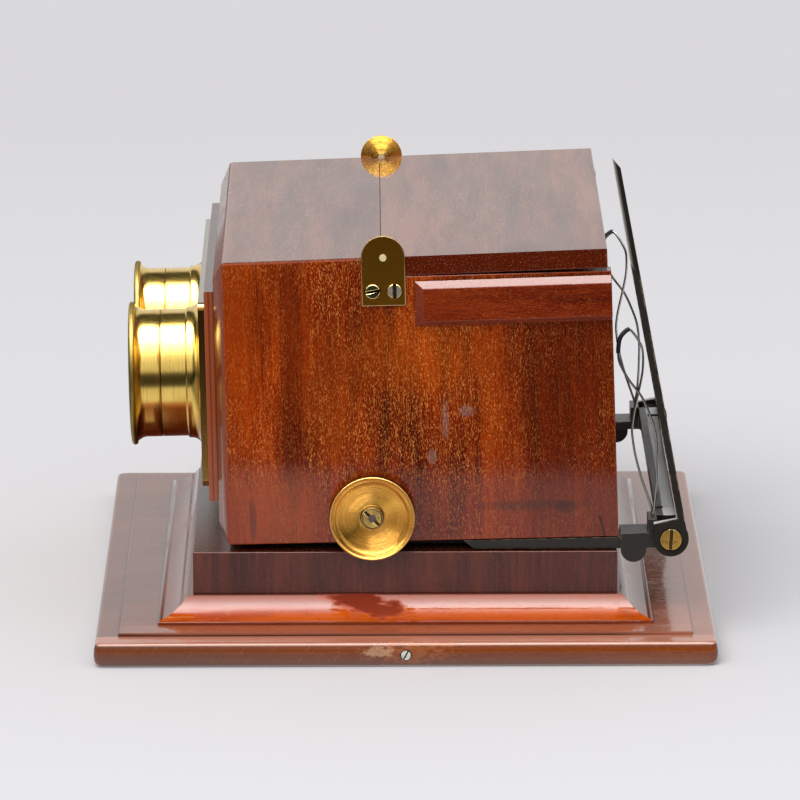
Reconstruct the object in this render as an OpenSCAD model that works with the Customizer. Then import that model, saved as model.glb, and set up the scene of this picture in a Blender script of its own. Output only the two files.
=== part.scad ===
// Table stereoscope: a mahogany viewing box on a moulded stand, with two brass
// eyepieces, a hinged lid over a mirror, rack-and-pinion focusing and a sprung,
// folding frame that holds the stereo card behind the box.
// X runs from the eyepieces to the card frame, Y across to the user's left, Z up.
// The origin is the centre of the underside of the stand.

/* [Stand] */
// Length of the base board, front to back
base_len = 218.6; // [212:0.2:240]
// Width of the base board
base_wid = 271.2; // [264:0.2:300]
// Thickness of the bullnosed base board
base_t = 8.7; // [7:0.1:12]
// Distance from the board's ends to the raised field
field_margin_x = 8.5; // [7:0.1:11]
// Distance from the board's sides to the raised field
field_margin_y = 11.5; // [8:0.1:14]
// Height of the raised field
field_step = 1.1; // [0.6:0.1:2]
// Width of the cove moulding
cove_w = 12.2; // [9:0.1:14]
// Height of the cove moulding
cove_h = 8.1; // [6:0.1:11]
// Height of the small fillet at the foot of the cove
cove_fillet = 0.7; // [0.4:0.1:1.2]
// Flat at the top of the cove, beside the plinth
cove_quirk = 1.9; // [1:0.1:3]
// Overhang of the box beyond the rear of the plinth
plinth_back = 0.47; // [0.2:0.01:1]
// Width of the plinth
plinth_wid = 199; // [190:0.5:199]
// Height of the plinth above the moulding
plinth_h = 15.1; // [10:0.1:24]
// Diameter of the screw head in the front edge of the board
edge_screw_d = 3.4; // [2.5:0.1:4.5]

/* [Viewing box] */
// Length of the box at its floor
box_len = 137.6; // [130:0.2:142]
// Width over the box's sides
box_wid = 194; // [188:0.5:198]
// Height of the box at its front
box_h = 101.5; // [96:0.5:115]
// Thickness of the box's walls
wall = 8; // [6:0.1:10]
// Thickness of the box's floor
floor_t = 7; // [6:0.1:8.5]
// Lean of the whole box, rear end up, in degrees
box_tilt = 1.15; // [0.6:0.05:1.6]
// Rise of the top boards towards the rear, in degrees
top_rise = 0.82; // [0:0.02:1.2]
// Rake of the box's rear edge, in degrees
rear_rake = 0.6; // [0:0.1:1.5]
// Gap between the plinth and the box at the front
box_gap = 2.05; // [1.9:0.05:2.6]
// Set-back of the box behind the front of the plinth
box_setback = 12.9; // [10:0.1:16]
// Thickness of the partition between the two halves
septum_t = 4; // [2:0.5:6]
// Distance from the partition to the rear of the box
septum_back = 25.6; // [14:0.2:40]
// Gap between the box floor and the strips that it rests on
rest_gap = 0.05; // [0.03:0.01:0.2]
// Distance of those strips from the rear of the box
rest_back = 16; // [10:1:40]
// Width of the strips
rest_w = 10; // [6:1:14]
// Length of each strip
rest_len = 42; // [20:1:50]
// Distance between the two strips
rest_apart = 40; // [30:1:60]

/* [Front and eyepieces] */
// Width of the bevel round the front board
bevel_w = 7; // [5:0.5:9]
// Depth of that bevel
bevel_d = 3.5; // [2.5:0.1:4.5]
// Inset of the raised front panel at the sides
panel_inset_y = 13.8; // [9:0.2:16]
// Inset of the raised front panel at top and bottom
panel_inset_z = 12.9; // [9.5:0.1:14]
// Thickness of the raised front panel
panel_t = 3.5; // [1.2:0.1:4]
// Width of the brass plate behind the eyepieces
eye_plate_w = 160; // [140:1:165]
// Height of the brass plate
eye_plate_h = 66.5; // [62:0.5:70]
// Thickness of the brass plate
eye_plate_t = 2.3; // [1:0.1:3]
// Corner radius of the brass plate
eye_plate_r = 3; // [1:0.5:6]
// Distance between the two eyepieces
eye_pitch = 75; // [66:0.5:82]
// Height of the eyepieces above the box floor
eye_v = 50.2; // [47:0.2:54]
// Outer diameter of the eyepiece tubes
tube_d = 45.8; // [42:0.2:48]
// Wall of the eyepiece tubes
tube_wall = 2.2; // [1.8:0.1:3]
// Length of the fixed tube in front of the brass plate
mount_len = 14.5; // [13:0.1:20]
// Length of the removable eye cup
cup_len = 11.3; // [9:0.1:15]
// Diameter over the eye cup's rim
rim_d = 51.3; // [49:0.1:54]
// Thickness of the rim bead
rim_t = 2.4; // [1.6:0.1:3]
// Thickness of the lenses at their edge
lens_edge = 2; // [1.4:0.1:3]
// Bulge of each lens face
lens_bulge = 1.8; // [1:0.1:2.4]

/* [Lid] */
// Distance from the front of the box to the split between top board and lid
split_u = 55.9; // [50:0.5:64]
// Thickness of the lid
lid_t = 6.9; // [5.5:0.1:8]
// Distance from the lid's rear edge to the rear of the box
lid_short = 2.3; // [1.6:0.1:6]
// Slope of the box's rim under the lid, in degrees
rim_slope = 0.2; // [0:0.05:0.6]
// Opening of the lid as it stands, in degrees
lid_open = 0.75; // [0.2:0.05:2]
// Diameter of the lid's pivot pins
lid_pin_d = 2.5; // [2:0.1:3]
// Width of the arched pivot plates
pivot_plate_w = 15.4; // [13:0.2:18]
// Length of the pivot plates below the pin
pivot_plate_drop = 17.2; // [14.5:0.2:20]
// Thickness of the pivot plates
pivot_plate_t = 1.2; // [0.8:0.1:1.6]
// Diameter of the screws in the pivot plates
plate_screw_d = 5.2; // [4:0.1:6]
// Radius of the lid's own ears
ear_r = 3.2; // [2.6:0.1:3.6]
// Thickness of the lid's ears
ear_t = 2.8; // [2.4:0.1:3.4]
// Wood left outside the tail of each ear
ear_skin = 1.3; // [1:0.1:1.5]
// Thickness of the mirror under the lid
mirror_t = 2.4; // [1.6:0.1:3]
// Width of the mirror
mirror_w = 168; // [150:1:172]
// Distance from the lid's front edge to the mirror
mirror_front = 7.6; // [6:0.1:12]
// Distance from the mirror to the lid's rear edge
mirror_rear = 7.7; // [5:0.1:20]

/* [Side battens] */
// Gap between the pivot plates and the bevelled battens
batten_gap = 2.9; // [0.5:0.1:12]
// Height of the battens
batten_h = 16.5; // [12:0.1:20]
// Thickness of the battens
batten_t = 3.5; // [2:0.1:5]
// Width of the batten's bevels
batten_bevel = 2.2; // [1:0.1:4]

/* [Focusing] */
// Tooth module of the rack and pinion
gear_m = 0.5; // [0.4:0.02:0.52]
// Number of pinion teeth
gear_n = 43; // [40:1:46]
// Width of the pinions
gear_w = 4.5; // [3:0.1:5]
// Distance of the focusing shaft from the front of the box
shaft_u = 50.7; // [48:0.1:58]
// Diameter of the focusing shaft
shaft_d = 5; // [4:0.1:5.6]
// Diameter of the focusing knobs
knob_d = 30.2; // [26:0.2:32]
// Thickness of the knob's rim
knob_rim = 4.2; // [3:0.1:6]
// Gap between knob and bush
knob_gap = 0.4; // [0.3:0.05:0.6]
// Diameter of the knob's nut
knob_nut_d = 7.6; // [6:0.1:9]
// Travel of the card carrier
travel = 20; // [10:0.5:22]
// Gap between the arms and the plinth
arm_gap = 0.35; // [0.25:0.05:0.6]
// Gap between the arms and the box floor
arm_top_gap = 0.3; // [0.2:0.05:0.5]
// Width of the outer bar of each arm
arm_w = 7; // [5:0.1:8]
// Distance from the front of the box to the outer bar's end
arm_front = 82.8; // [80:0.2:96]

/* [Card carrier] */
// Thickness of the bracket plates
bracket_t = 3.4; // [2.4:0.1:4]
// Height of the bracket plates above the box floor line
bracket_top = 1.2; // [0.8:0.1:2.4]
// Radius of the round lug under each bracket
lug_r = 4.5; // [4:0.1:5]
// Height of the ears that hold the springs
ear_top = 6.2; // [5.6:0.1:8]
// Half length of the card ledge without its end blocks
ledge_half = 77.5; // [70:0.5:80]
// Height of the card ledge above the box floor line
ledge_v = 4.6; // [4.2:0.1:5]
// Height of the lip in front of the card
lip_h = 1.5; // [1:0.1:2.5]
// Distance of the frame's pivot behind the box
pivot_back = 18.3; // [17.9:0.1:22]
// Lean of the card frame towards the box, in degrees
frame_lean = 9.3; // [7:0.1:11]
// Thickness of the card frame
frame_t = 2.5; // [2:0.1:3.2]
// Length of the card frame above its pivot
frame_len = 100.2; // [90:0.2:110]
// Overall width of the card frame
frame_wid = 202.8; // [202.8:0.2:208]
// Width of the frame's stiles and rails
frame_rail = 9; // [6:0.5:12]
// Width of the frame's centre bar
frame_mid = 8; // [5:0.5:14]
// Radius of the cheek discs round the pivot screws
cheek_r = 6.3; // [5.4:0.1:7]
// Diameter of the brass pivot screws
pivot_screw_d = 7.5; // [6:0.1:9]
// Diameter of the spring wire
wire_d = 0.9; // [0.7:0.05:1.1]
// Distance between the two strands of a spring
spring_gap = 4; // [3:0.1:5]
// Height of the springs' bend above the box floor line
spring_h = 73; // [70:0.5:78]
// Play of the wire in the ear's holes
wire_play = 0.15; // [0.1:0.01:0.2]
// Depth of those holes
wire_hole = 2.6; // [2:0.1:3.4]

/* [Hidden] */
$fn = 48;

wood = [0.45, 0.16, 0.07];
dark_wood = [0.3, 0.11, 0.07];
brass = [0.8, 0.62, 0.25];
steel = [0.6, 0.6, 0.6];
black = [0.1, 0.1, 0.1];
glass = [0.75, 0.85, 0.85];

// Levels of the stand
z_field = base_t + field_step;
z_cove = z_field + cove_h;
z_plinth = z_cove + plinth_h;
// Place of the box, and the plinth under it
plinth_len = box_setback + box_len * cos(box_tilt) - plinth_back;
box_x = -plinth_len / 2 + box_setback;
box_z = z_plinth + box_gap;
half = box_wid / 2;
inner = half - wall;
// Height of the box's top at the split, and the lid's pivot
top_split = box_h + split_u * tan(top_rise);
pin_back = 0.7;
pin_u = split_u + pin_back;
pin_v = top_split + 0.1;
lid_slope = rim_slope + lid_open;
lid_under = 0.1 + lid_t;
lid_gap = 0.08;
lid_half = half - 0.1;
split_gap = 0.1;
ear_y = half - 0.1 - ear_t;
// Focusing: pitch line of the racks, the shaft's height, and the racks
rack_add = gear_m;
rack_ded = 1.25 * gear_m;
pitch_r = gear_m * gear_n / 2;
shaft_v = pitch_r + rack_add - arm_top_gap - 2 * rack_add + 0.0;
pitch_v = shaft_v - pitch_r;
rack_y1 = inner - 0.5;
rack_y0 = rack_y1 - gear_w;
bush_r = shaft_d / 2 + 1.5;
bush_flange = 0.8;
// Height of a level in the box's frame that lies a given distance above the plinth
function over_plinth(u, h) = -(box_gap - h) / cos(box_tilt) - u * tan(box_tilt);
// Eyepieces: distances in front of the box's front edge
panel_out = bevel_d + panel_t;
plate_out = panel_out + eye_plate_t;
joint_out = plate_out + mount_len;
rim_out = joint_out + cup_len;
tube_r = tube_d / 2;
bore_r = tube_r - tube_wall;
spigot_r = tube_r - tube_wall / 2;
lens_r = bore_r - 0.1;
lens_out = plate_out + mount_len * 0.28;
flare_r = min(tube_r + 4.1, eye_plate_h / 2 - 1);
// Card carrier, in the box's frame
back_gap = 0.6;
br_u = box_len + back_gap;
bracket_y1 = half + 1.2;
bracket_y0 = bracket_y1 - bracket_t;
cheek_y0 = bracket_y1 + 0.4;
cheek_y1 = frame_wid / 2;
pivot_u = box_len + pivot_back;
pivot_v = -0.5;
frame_d = 3.52;
lug_u = br_u + lug_r;
lug_v = over_plinth(lug_u, 0.2);
ear_u1 = br_u + 13;
ear_u0 = ear_u1 - 3.2;
wire_u = ear_u1 - 1.3;
spring_y = half - 9.4;
ledge_u0 = ear_u1;
ledge_v0 = 1.6;
lip_w = 2.8;
frame_u = pivot_u + frame_d / cos(frame_lean) - (ledge_v - pivot_v) * tan(frame_lean);
ledge_u1 = frame_u - 0.4;
hinge_u = 3;
hinge_v = -box_gap / 2;
hinge_half = 30;
leaf_t = 0.9;
knuckle_r = 1.5;
hinge_pin_r = 0.6;

// ---------- helpers ----------
module in_box() { translate([box_x, 0, box_z]) rotate([0, -box_tilt, 0]) children(); }
module in_top() { translate([0, 0, box_h]) rotate([0, -top_rise, 0]) children(); }
module in_lid() { in_box() translate([pin_u, 0, pin_v]) rotate([0, -lid_slope, 0]) children(); }
module in_frame() { in_box() translate([pivot_u, 0, pivot_v]) rotate([0, -frame_lean, 0]) children(); }
module right() { mirror([0, 1, 0]) children(); }
module both() { children(); mirror([0, 1, 0]) children(); }
// A prism on an outline in X and Z, from y0 to y1
module slab(pts, y0, y1) { translate([0, y1, 0]) rotate([90, 0, 0]) linear_extrude(y1 - y0) polygon(pts); }
// A prism on an outline in Y and Z, from x0 to x1
module bar(pts, x0, x1) { translate([x0, 0, 0]) rotate([90, 0, 90]) linear_extrude(x1 - x0) polygon(pts); }
// A cylinder along Y from y0 to y1
module pin_y(r, y0, y1) { translate([0, y1, 0]) rotate([90, 0, 0]) cylinder(h = y1 - y0, r = r); }
module block(x0, x1, y0, y1, z0, z1) { translate([x0, y0, z0]) cube([x1 - x0, y1 - y0, z1 - z0]); }
module round_rect(w, h, r) {
    square([w - 2 * r, h], center = true);
    square([w, h - 2 * r], center = true);
    for (i = [-1, 1], j = [-1, 1]) translate([i * (w / 2 - r), j * (h / 2 - r)]) circle(r);
}
// A slotted screw head that stands on Z = 0, slot at an angle
module screw_head(d, h, turn, shank_d, shank) {
    difference() {
        union() {
            cylinder(h = h, r = d / 2);
            translate([0, 0, -shank]) cylinder(h = shank, r = shank_d / 2);
        }
        rotate([0, 0, turn]) translate([0, 0, h]) cube([d + 1, d * 0.16, h], center = true);
    }
}

// ---------- stand ----------
module base_board() {
    r = base_t / 2;
    color(wood) difference() {
        union() {
            hull() {
                for (i = [-1, 1], j = [-1, 1])
                    translate([i * (base_len / 2 - r), j * (base_wid / 2 - r), r]) sphere(r, $fn = 32);
                translate([0, 0, r]) cube([base_len - 2 * r, base_wid - 2 * r, base_t], center = true);
            }
            block(-base_len / 2 + field_margin_x, base_len / 2 - field_margin_x,
                -base_wid / 2 + field_margin_y, base_wid / 2 - field_margin_y, r, z_field);
        }
        translate([0, -base_wid / 2, r]) pin_y(edge_screw_d / 2, -1, 2.4);
    }
}

module edge_screw() {
    color(steel) translate([0, -base_wid / 2 + 1.6, base_t / 2]) rotate([90, 0, 0])
        screw_head(edge_screw_d, 1.5, 62, edge_screw_d * 0.6, 0.8);
}

// Outline of the moulding: distance from the plinth, height
cove_toe = cove_w - 1.1;
cove_pts = concat([[0, 0], [cove_w, 0], [cove_w, cove_fillet], [cove_toe, cove_fillet + 0.7]],
    [for (a = [5:10:85]) [cove_toe - (cove_toe - cove_quirk) * sin(a), cove_h - (cove_h - cove_fillet - 0.7) * cos(a)]],
    [[cove_quirk, cove_h], [0, cove_h]]);
module cove_run(l, off) {
    translate([0, -off, z_field]) intersection() {
        bar([for (p = cove_pts) [-p[0], p[1]]], -l / 2 - cove_w, l / 2 + cove_w);
        linear_extrude(cove_h + 1) polygon([[-l / 2, 0], [-l / 2 - cove_w - 1, -cove_w - 1],
            [l / 2 + cove_w + 1, -cove_w - 1], [l / 2, 0]]);
    }
}
module cove_moulding() {
    color(wood) {
        for (a = [0, 180]) rotate([0, 0, a]) cove_run(plinth_len, plinth_wid / 2);
        for (a = [90, 270]) rotate([0, 0, a]) cove_run(plinth_wid, plinth_len / 2);
    }
}

module plinth() {
    color(dark_wood) difference() {
        block(-plinth_len / 2, plinth_len / 2, -plinth_wid / 2, plinth_wid / 2, z_field, z_plinth);
        in_box() translate([hinge_u, 0, hinge_v]) pin_y(knuckle_r + 0.35, -hinge_half - 0.4, hinge_half + 0.4);
    }
}

// Strips on the plinth that the rear of the box rests on
module rest_strips() {
    u1 = box_len - rest_back;
    u0 = u1 - rest_w;
    pts = [for (p = [[u0, 0], [u1, 0]]) [box_x + p[0] * cos(box_tilt), z_plinth]];
    top = [for (u = [u1, u0]) [box_x + u * cos(box_tilt),
        box_z + (u * sin(box_tilt)) - rest_gap]];
    color(dark_wood) both() slab(concat(pts, top), rest_apart / 2, rest_apart / 2 + rest_len);
}

// Butt hinge under the front of the box
module hinge_knuckles(sel) {
    step = 2 * hinge_half / 5;
    translate([hinge_u, 0, hinge_v]) for (i = sel)
        pin_y(knuckle_r, -hinge_half + i * step + 0.1, -hinge_half + (i + 1) * step - 0.1);
}
module hinge_leaf_lower() {
    color(brass) difference() {
        union() {
            intersection() {
                in_box() block(hinge_u, hinge_u + 11, -hinge_half + 0.1, hinge_half - 0.1, -box_gap - 3, 0);
                block(box_x - 5, box_x + 20, -hinge_half, hinge_half, z_plinth, z_plinth + leaf_t);
            }
            in_box() hinge_knuckles([0, 2, 4]);
        }
        in_box() translate([hinge_u, 0, hinge_v]) {
            pin_y(hinge_pin_r, -hinge_half - 1, hinge_half + 1);
            for (i = [1, 3]) pin_y(knuckle_r + 0.25, -hinge_half + i * 12, -hinge_half + (i + 1) * 12);
        }
    }
}
module hinge_leaf_upper() {
    color(brass) in_box() difference() {
        union() {
            block(hinge_u, hinge_u + 11, -hinge_half + 0.1, hinge_half - 0.1, -leaf_t, 0);
            hinge_knuckles([1, 3]);
        }
        translate([hinge_u, 0, hinge_v]) {
            pin_y(hinge_pin_r + 0.05, -hinge_half - 1, hinge_half + 1);
            for (i = [0, 2, 4]) pin_y(knuckle_r + 0.25, -hinge_half + i * 12, -hinge_half + (i + 1) * 12);
        }
    }
}
module hinge_pin() {
    color(steel) in_box() translate([hinge_u, 0, hinge_v]) pin_y(hinge_pin_r, -hinge_half + 0.1, hinge_half - 0.1);
}

// ---------- box ----------
// Height of the box's rim under the lid
function rim_v(u) = pin_v - lid_under - lid_gap + (u - pin_u) * tan(rim_slope);
rim_end = box_len - rim_v(box_len) * tan(rear_rake);
pinion_slot = sqrt(pow(pitch_r + gear_m + 0.6, 2) - pow(max(0, shaft_v - floor_t), 2));

module floor_board() {
    color(dark_wood) in_box() difference() {
        block(wall, box_len - 0.4, -inner, inner, 0, floor_t);
        both() block(shaft_u - pinion_slot, shaft_u + pinion_slot, rack_y0 - 0.4, inner + 1, -1, floor_t + 1);
        translate([shaft_u, 0, shaft_v]) pin_y(shaft_d / 2 + 0.4, -inner - 1, inner + 1);
        translate([hinge_u, 0, hinge_v]) pin_y(knuckle_r + 0.35, -hinge_half - 0.4, hinge_half + 0.4);
    }
}

module side_solid() {
    difference() {
        slab([[0, 0], [box_len, 0], [rim_end, rim_v(rim_end)], [split_u - split_gap, rim_v(split_u)],
            [split_u - split_gap, top_split], [0, box_h]], inner, half);
        // mitre to the front board and to the top board
        linear_extrude(box_h + 9) polygon([[-1, half + 1], [-1, inner - 1], [wall + 1, inner - 1]]);
        intersection() {
            in_top() bar([[half + 1, 1], [inner - 1, 1], [inner - 1, -wall - 1]], -2, split_u + 4);
            block(-3, split_u - split_gap, inner - 2, half + 2, 0, box_h + 9);
        }
        // bush and ear
        translate([shaft_u, 0, shaft_v]) pin_y(bush_r, inner - 1, half + 1);
        translate([pin_u, 0, pin_v]) pin_y(ear_r + 0.35, ear_y - 0.3, half + 1);
        for (i = [-1, 1]) translate([pin_u + i * pivot_plate_w / 4, 0, pin_v - pivot_plate_drop + 5.2])
            pin_y(plate_screw_d * 0.3, half - 3, half + 1);
    }
}
module left_side() { color(wood) in_box() side_solid(); }
module right_side() { color(wood) in_box() right() side_solid(); }

module top_board() {
    color(wood) in_box() difference() {
        in_top() bar([[-half, 0], [half, 0], [inner, -wall], [-inner, -wall]], 0, (split_u - split_gap) / cos(top_rise));
        slab([[-6, box_h + 6], [-6, box_h - 30], [30, box_h - 30]], -half - 1, half + 1);
        both() translate([pin_u, 0, pin_v]) pin_y(ear_r + 0.35, ear_y - 0.3, half + 1);
    }
}

// Front board with its bevelled edge, mitred to the sides
module front_board() {
    color(wood) in_box() difference() {
        intersection() {
            linear_extrude(box_h) polygon([[-bevel_d, -half + bevel_w], [0, -half], [wall, -inner],
                [wall, inner], [0, half], [-bevel_d, half - bevel_w]]);
            slab([[-bevel_d, bevel_w], [0, 0], [wall, 0], [wall, box_h - wall], [0, box_h],
                [-bevel_d, box_h - bevel_w]], -half - 1, half + 1);
        }
        both() eye_axis() translate([0, 0, -wall - 1]) cylinder(h = wall + 20, r = spigot_r);
        translate([hinge_u, 0, hinge_v]) pin_y(knuckle_r + 0.35, -hinge_half - 0.4, hinge_half + 0.4);
    }
}
module front_panel() {
    color(wood) in_box() difference() {
        block(-panel_out, -bevel_d, -half + panel_inset_y, half - panel_inset_y, panel_inset_z, box_h - panel_inset_z);
        both() eye_axis() translate([0, 0, -1]) cylinder(h = 30, r = spigot_r);
    }
}

module septum() {
    h1 = rim_v(split_u) - mirror_t - 3.4;
    septum_len = box_len - wall - septum_back;
    color(dark_wood) in_box() difference() {
        slab([[wall, floor_t], [wall + septum_len, floor_t], [wall + septum_len, h1 - 8],
            [wall + septum_len - 8, h1], [wall, h1]], -septum_t / 2, septum_t / 2);
        translate([shaft_u, 0, shaft_v]) pin_y(shaft_d / 2 + 0.4, -septum_t, septum_t);
    }
}

// Bevelled batten on the side of the box, flush with its rear edge
batten_v = rim_v(rim_end) - 1.1;
batten_u1 = box_len - batten_v * tan(rear_rake);
batten_len = batten_u1 - pin_u - pivot_plate_w / 2 - batten_gap;
module batten_solid() {
    b = batten_bevel;
    translate([batten_u1, 0, batten_v]) rotate([0, -0.6, 0]) intersection() {
        linear_extrude(3 * batten_h, center = true) polygon([[-batten_len, half], [0, half], [0, half + batten_t],
            [-batten_len + b * 1.4, half + batten_t]]);
        bar([[half, 0], [half + batten_t, -b], [half + batten_t, b - batten_h], [half, -batten_h]], -batten_len - 1, 1);
    }
}
module left_batten() { color(wood) in_box() batten_solid(); }
module right_batten() { color(wood) in_box() right() batten_solid(); }

// Arched plate that carries the lid's pin
module pivot_plate_solid() {
    w = pivot_plate_w / 2;
    translate([pin_u, half + pivot_plate_t, pin_v]) rotate([90, 0, 0]) linear_extrude(pivot_plate_t) difference() {
        union() {
            circle(w);
            translate([-w, -pivot_plate_drop]) square([2 * w, pivot_plate_drop]);
        }
        circle(lid_pin_d / 2);
        for (i = [-1, 1]) translate([i * w / 2, 5.2 - pivot_plate_drop]) circle(plate_screw_d * 0.3);
    }
}
module left_pivot_plate() { color(brass) in_box() pivot_plate_solid(); }
module right_pivot_plate() { color(brass) in_box() right() pivot_plate_solid(); }
module plate_screws() {
    color(steel) in_box() both() for (i = [-1, 1])
        translate([pin_u + i * pivot_plate_w / 4, half + pivot_plate_t, pin_v - pivot_plate_drop + 5.2])
            rotate([-90, 0, 0]) screw_head(plate_screw_d, 0.6, 40 + 50 * i, plate_screw_d * 0.6, pivot_plate_t + 2.5);
}
module lid_pins() {
    color(brass) in_box() both() translate([pin_u, 0, pin_v]) pin_y(lid_pin_d / 2, ear_y, half + pivot_plate_t + 0.3);
}

// ---------- eyepieces ----------
// Axis of the left eyepiece, Z pointing out of the box
module eye_axis() { translate([0, eye_pitch / 2, eye_v]) rotate([0, -90, 0]) children(); }
module eyepiece_plate() {
    color(brass) in_box() difference() {
        translate([-plate_out, 0, box_h / 2 - 0.3]) rotate([90, 0, 90]) linear_extrude(eye_plate_t)
            round_rect(eye_plate_w, eye_plate_h, eye_plate_r);
        both() eye_axis() translate([0, 0, -1]) cylinder(h = 30, r = spigot_r);
    }
}
// Fixed tube with a flared foot and a seat for the lens
module mount_solid() {
    f = plate_out;
    rotate_extrude($fn = 96) polygon(concat(
        [[bore_r - 1.2, -wall], [spigot_r, -wall], [spigot_r, f], [flare_r, f], [flare_r, f + 0.7]],
        [for (a = [10:16:90]) [tube_r + 0.7 + (flare_r - tube_r - 1.2) * (1 - sin(a)), f + 0.7 + 3.6 * (1 - cos(a))]],
        [[tube_r + 0.7, f + 5], [tube_r, f + 5.4], [tube_r, joint_out - 0.15], [spigot_r, joint_out - 0.15],
        [spigot_r, joint_out + cup_len * 0.5], [bore_r, joint_out + cup_len * 0.5], [bore_r, lens_out], [bore_r - 1.2, lens_out]]));
}
module left_mount() { color(brass) in_box() eye_axis() mount_solid(); }
module right_mount() { color(brass) in_box() right() eye_axis() mount_solid(); }
// Flared eye cup with a rounded bead at its rim
module cup_solid() {
    j = joint_out;
    r = rim_d / 2;
    b = rim_out - rim_t;
    rotate_extrude($fn = 96) polygon(concat(
        [[spigot_r, j], [tube_r, j], [tube_r, j + cup_len * 0.5]],
        [for (i = [1:5]) [tube_r + (r - 1.3 - tube_r) * pow(i / 5, 2), j + cup_len * 0.5 + (b - j - cup_len * 0.5) * i / 5]],
        [for (a = [-90:22.5:90]) [r - rim_t * 0.35 + rim_t * 0.35 * cos(a), b + rim_t / 2 + rim_t / 2 * sin(a)]],
        [[r - 2.6, rim_out], [bore_r + 1.2, b], [bore_r, j + cup_len * 0.5 + 0.6], [spigot_r, j + cup_len * 0.5 + 0.6]]));
}
module left_eye_cup() { color(brass) in_box() eye_axis() cup_solid(); }
module right_eye_cup() { color(brass) in_box() right() eye_axis() cup_solid(); }
module lens_solid() {
    big = (pow(lens_r, 2) + pow(lens_bulge, 2)) / (2 * lens_bulge);
    translate([0, 0, lens_out]) rotate_extrude($fn = 96) polygon(concat(
        [for (i = [0:8]) let (r = lens_r * i / 8) [r, lens_bulge - (sqrt(pow(big, 2) - pow(r, 2)) - big + lens_bulge)]],
        [for (i = [8:-1:0]) let (r = lens_r * i / 8) [r, lens_bulge + lens_edge + (sqrt(pow(big, 2) - pow(r, 2)) - big + lens_bulge)]]));
}
module left_lens() { color(glass) in_box() eye_axis() lens_solid(); }
module right_lens() { color(glass) in_box() right() eye_axis() lens_solid(); }
module lens_rings() {
    z = lens_out + lens_bulge + lens_edge;
    color(black) in_box() both() eye_axis() translate([0, 0, z + 0.55]) difference() {
        cylinder(h = 1.4, r = bore_r, $fn = 96);
        translate([0, 0, -1]) cylinder(h = 4, r = bore_r - 1.6, $fn = 96);
    }
}

// ---------- lid ----------
lid_x0 = split_gap - pin_back;
lid_x1 = box_len - lid_short - pin_u;
mirror_x0 = lid_x0 + mirror_front;
mirror_x1 = lid_x1 - mirror_rear;
ear_tail = 12;
ear_drop = 4.2;
ear_play = 0.2;
ear_cap = 1.5;
module lid_board() {
    color(wood) in_lid() difference() {
        block(lid_x0, lid_x1, -lid_half, lid_half, -lid_under, lid_t - lid_under);
        // mortises of the two ears, and room for their eyes
        both() {
            block(lid_x0 - 1, ear_tail + ear_play, ear_y, lid_half - ear_skin, -ear_drop - ear_play, -ear_cap);
            block(lid_x0 - 1, ear_r + ear_play, ear_y, half + 1, -ear_drop - ear_play, 1);
            pin_y(lid_pin_d / 2 + 0.3, ear_y - 2, half);
        }
    }
}
module lid_ears() {
    color(brass) in_lid() both() difference() {
        union() {
            pin_y(ear_r, ear_y, lid_half);
            block(0, ear_tail, ear_y, lid_half - ear_skin, -ear_drop, -ear_cap);
        }
        pin_y(lid_pin_d / 2 + 0.05, ear_y - 1, half + 1);
    }
}
module lid_mirror() {
    color(glass) in_lid() block(mirror_x0, mirror_x1, -mirror_w / 2, mirror_w / 2, -lid_under - mirror_t, -lid_under);
}
clip_w = 5;
clip_t = 0.6;
module mirror_clips() {
    z = -lid_under - mirror_t;
    color(brass) in_lid() for (f = [0.2, 0.8]) translate([mirror_x0 + f * (mirror_x1 - mirror_x0), 0, 0]) both() {
        block(-clip_w / 2, clip_w / 2, mirror_w / 2, mirror_w / 2 + 2 * clip_t, z - clip_t, -lid_under);
        block(-clip_w / 2, clip_w / 2, mirror_w / 2 - 2, mirror_w / 2 + 2 * clip_t, z - clip_t, z);
    }
}

// ---------- focusing ----------
module shaft_bushes() {
    color(brass) in_box() both() translate([shaft_u, 0, shaft_v]) difference() {
        union() {
            pin_y(bush_r, inner, half);
            pin_y(bush_r + 1.6, half, half + bush_flange);
        }
        pin_y(shaft_d / 2 + 0.05, inner - 1, half + 5);
    }
}
knob_y = half + bush_flange + knob_gap;
rim_y0 = max(knob_y + 2, plinth_wid / 2 + 0.7);
rim_y1 = rim_y0 + knob_rim;
module focus_shaft() {
    end = rim_y1 - knob_rim * 0.15;
    color(steel) in_box() translate([shaft_u, 0, shaft_v]) {
        pin_y(shaft_d / 2, -knob_y, knob_y);
        both() pin_y(shaft_d * 0.28, knob_y, end);
    }
}
// Involute tooth flank: point at roll angle t on the base circle
function inv(rb, t) = [rb * (cos(t) + t * PI / 180 * sin(t)), rb * (sin(t) - t * PI / 180 * cos(t))];
function turn(p, a) = [p[0] * cos(a) - p[1] * sin(a), p[0] * sin(a) + p[1] * cos(a)];
function roll(rb, r) = sqrt(max(0, pow(r / rb, 2) - 1)) * 180 / PI;
module pinion_2d() {
    pa = 20;
    rb = pitch_r * cos(pa);
    ro = pitch_r + gear_m;
    rr = pitch_r - rack_ded;
    tp = roll(rb, pitch_r);
    ap = atan2(inv(rb, tp)[1], inv(rb, tp)[0]);
    hw = 90 / gear_n - 0.25;
    t0 = roll(rb, max(rb, rr + 0.02));
    t1 = roll(rb, ro);
    flank = [for (i = [0:3]) turn(inv(rb, t0 + (t1 - t0) * i / 3), -ap - hw)];
    n = len(flank);
    tooth = concat([turn([rr, 0], -ap - hw)], flank, [for (i = [n - 1:-1:0]) [flank[i][0], -flank[i][1]]], [turn([rr, 0], ap + hw)]);
    polygon([for (k = [0:gear_n - 1]) for (p = tooth) turn(p, k * 360 / gear_n)]);
}
module pinion_solid() {
    translate([shaft_u, rack_y1, shaft_v]) rotate([90, 0, 0]) linear_extrude(gear_w) difference() {
        rotate([0, 0, -90]) pinion_2d();
        circle(shaft_d / 2);
    }
}
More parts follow.
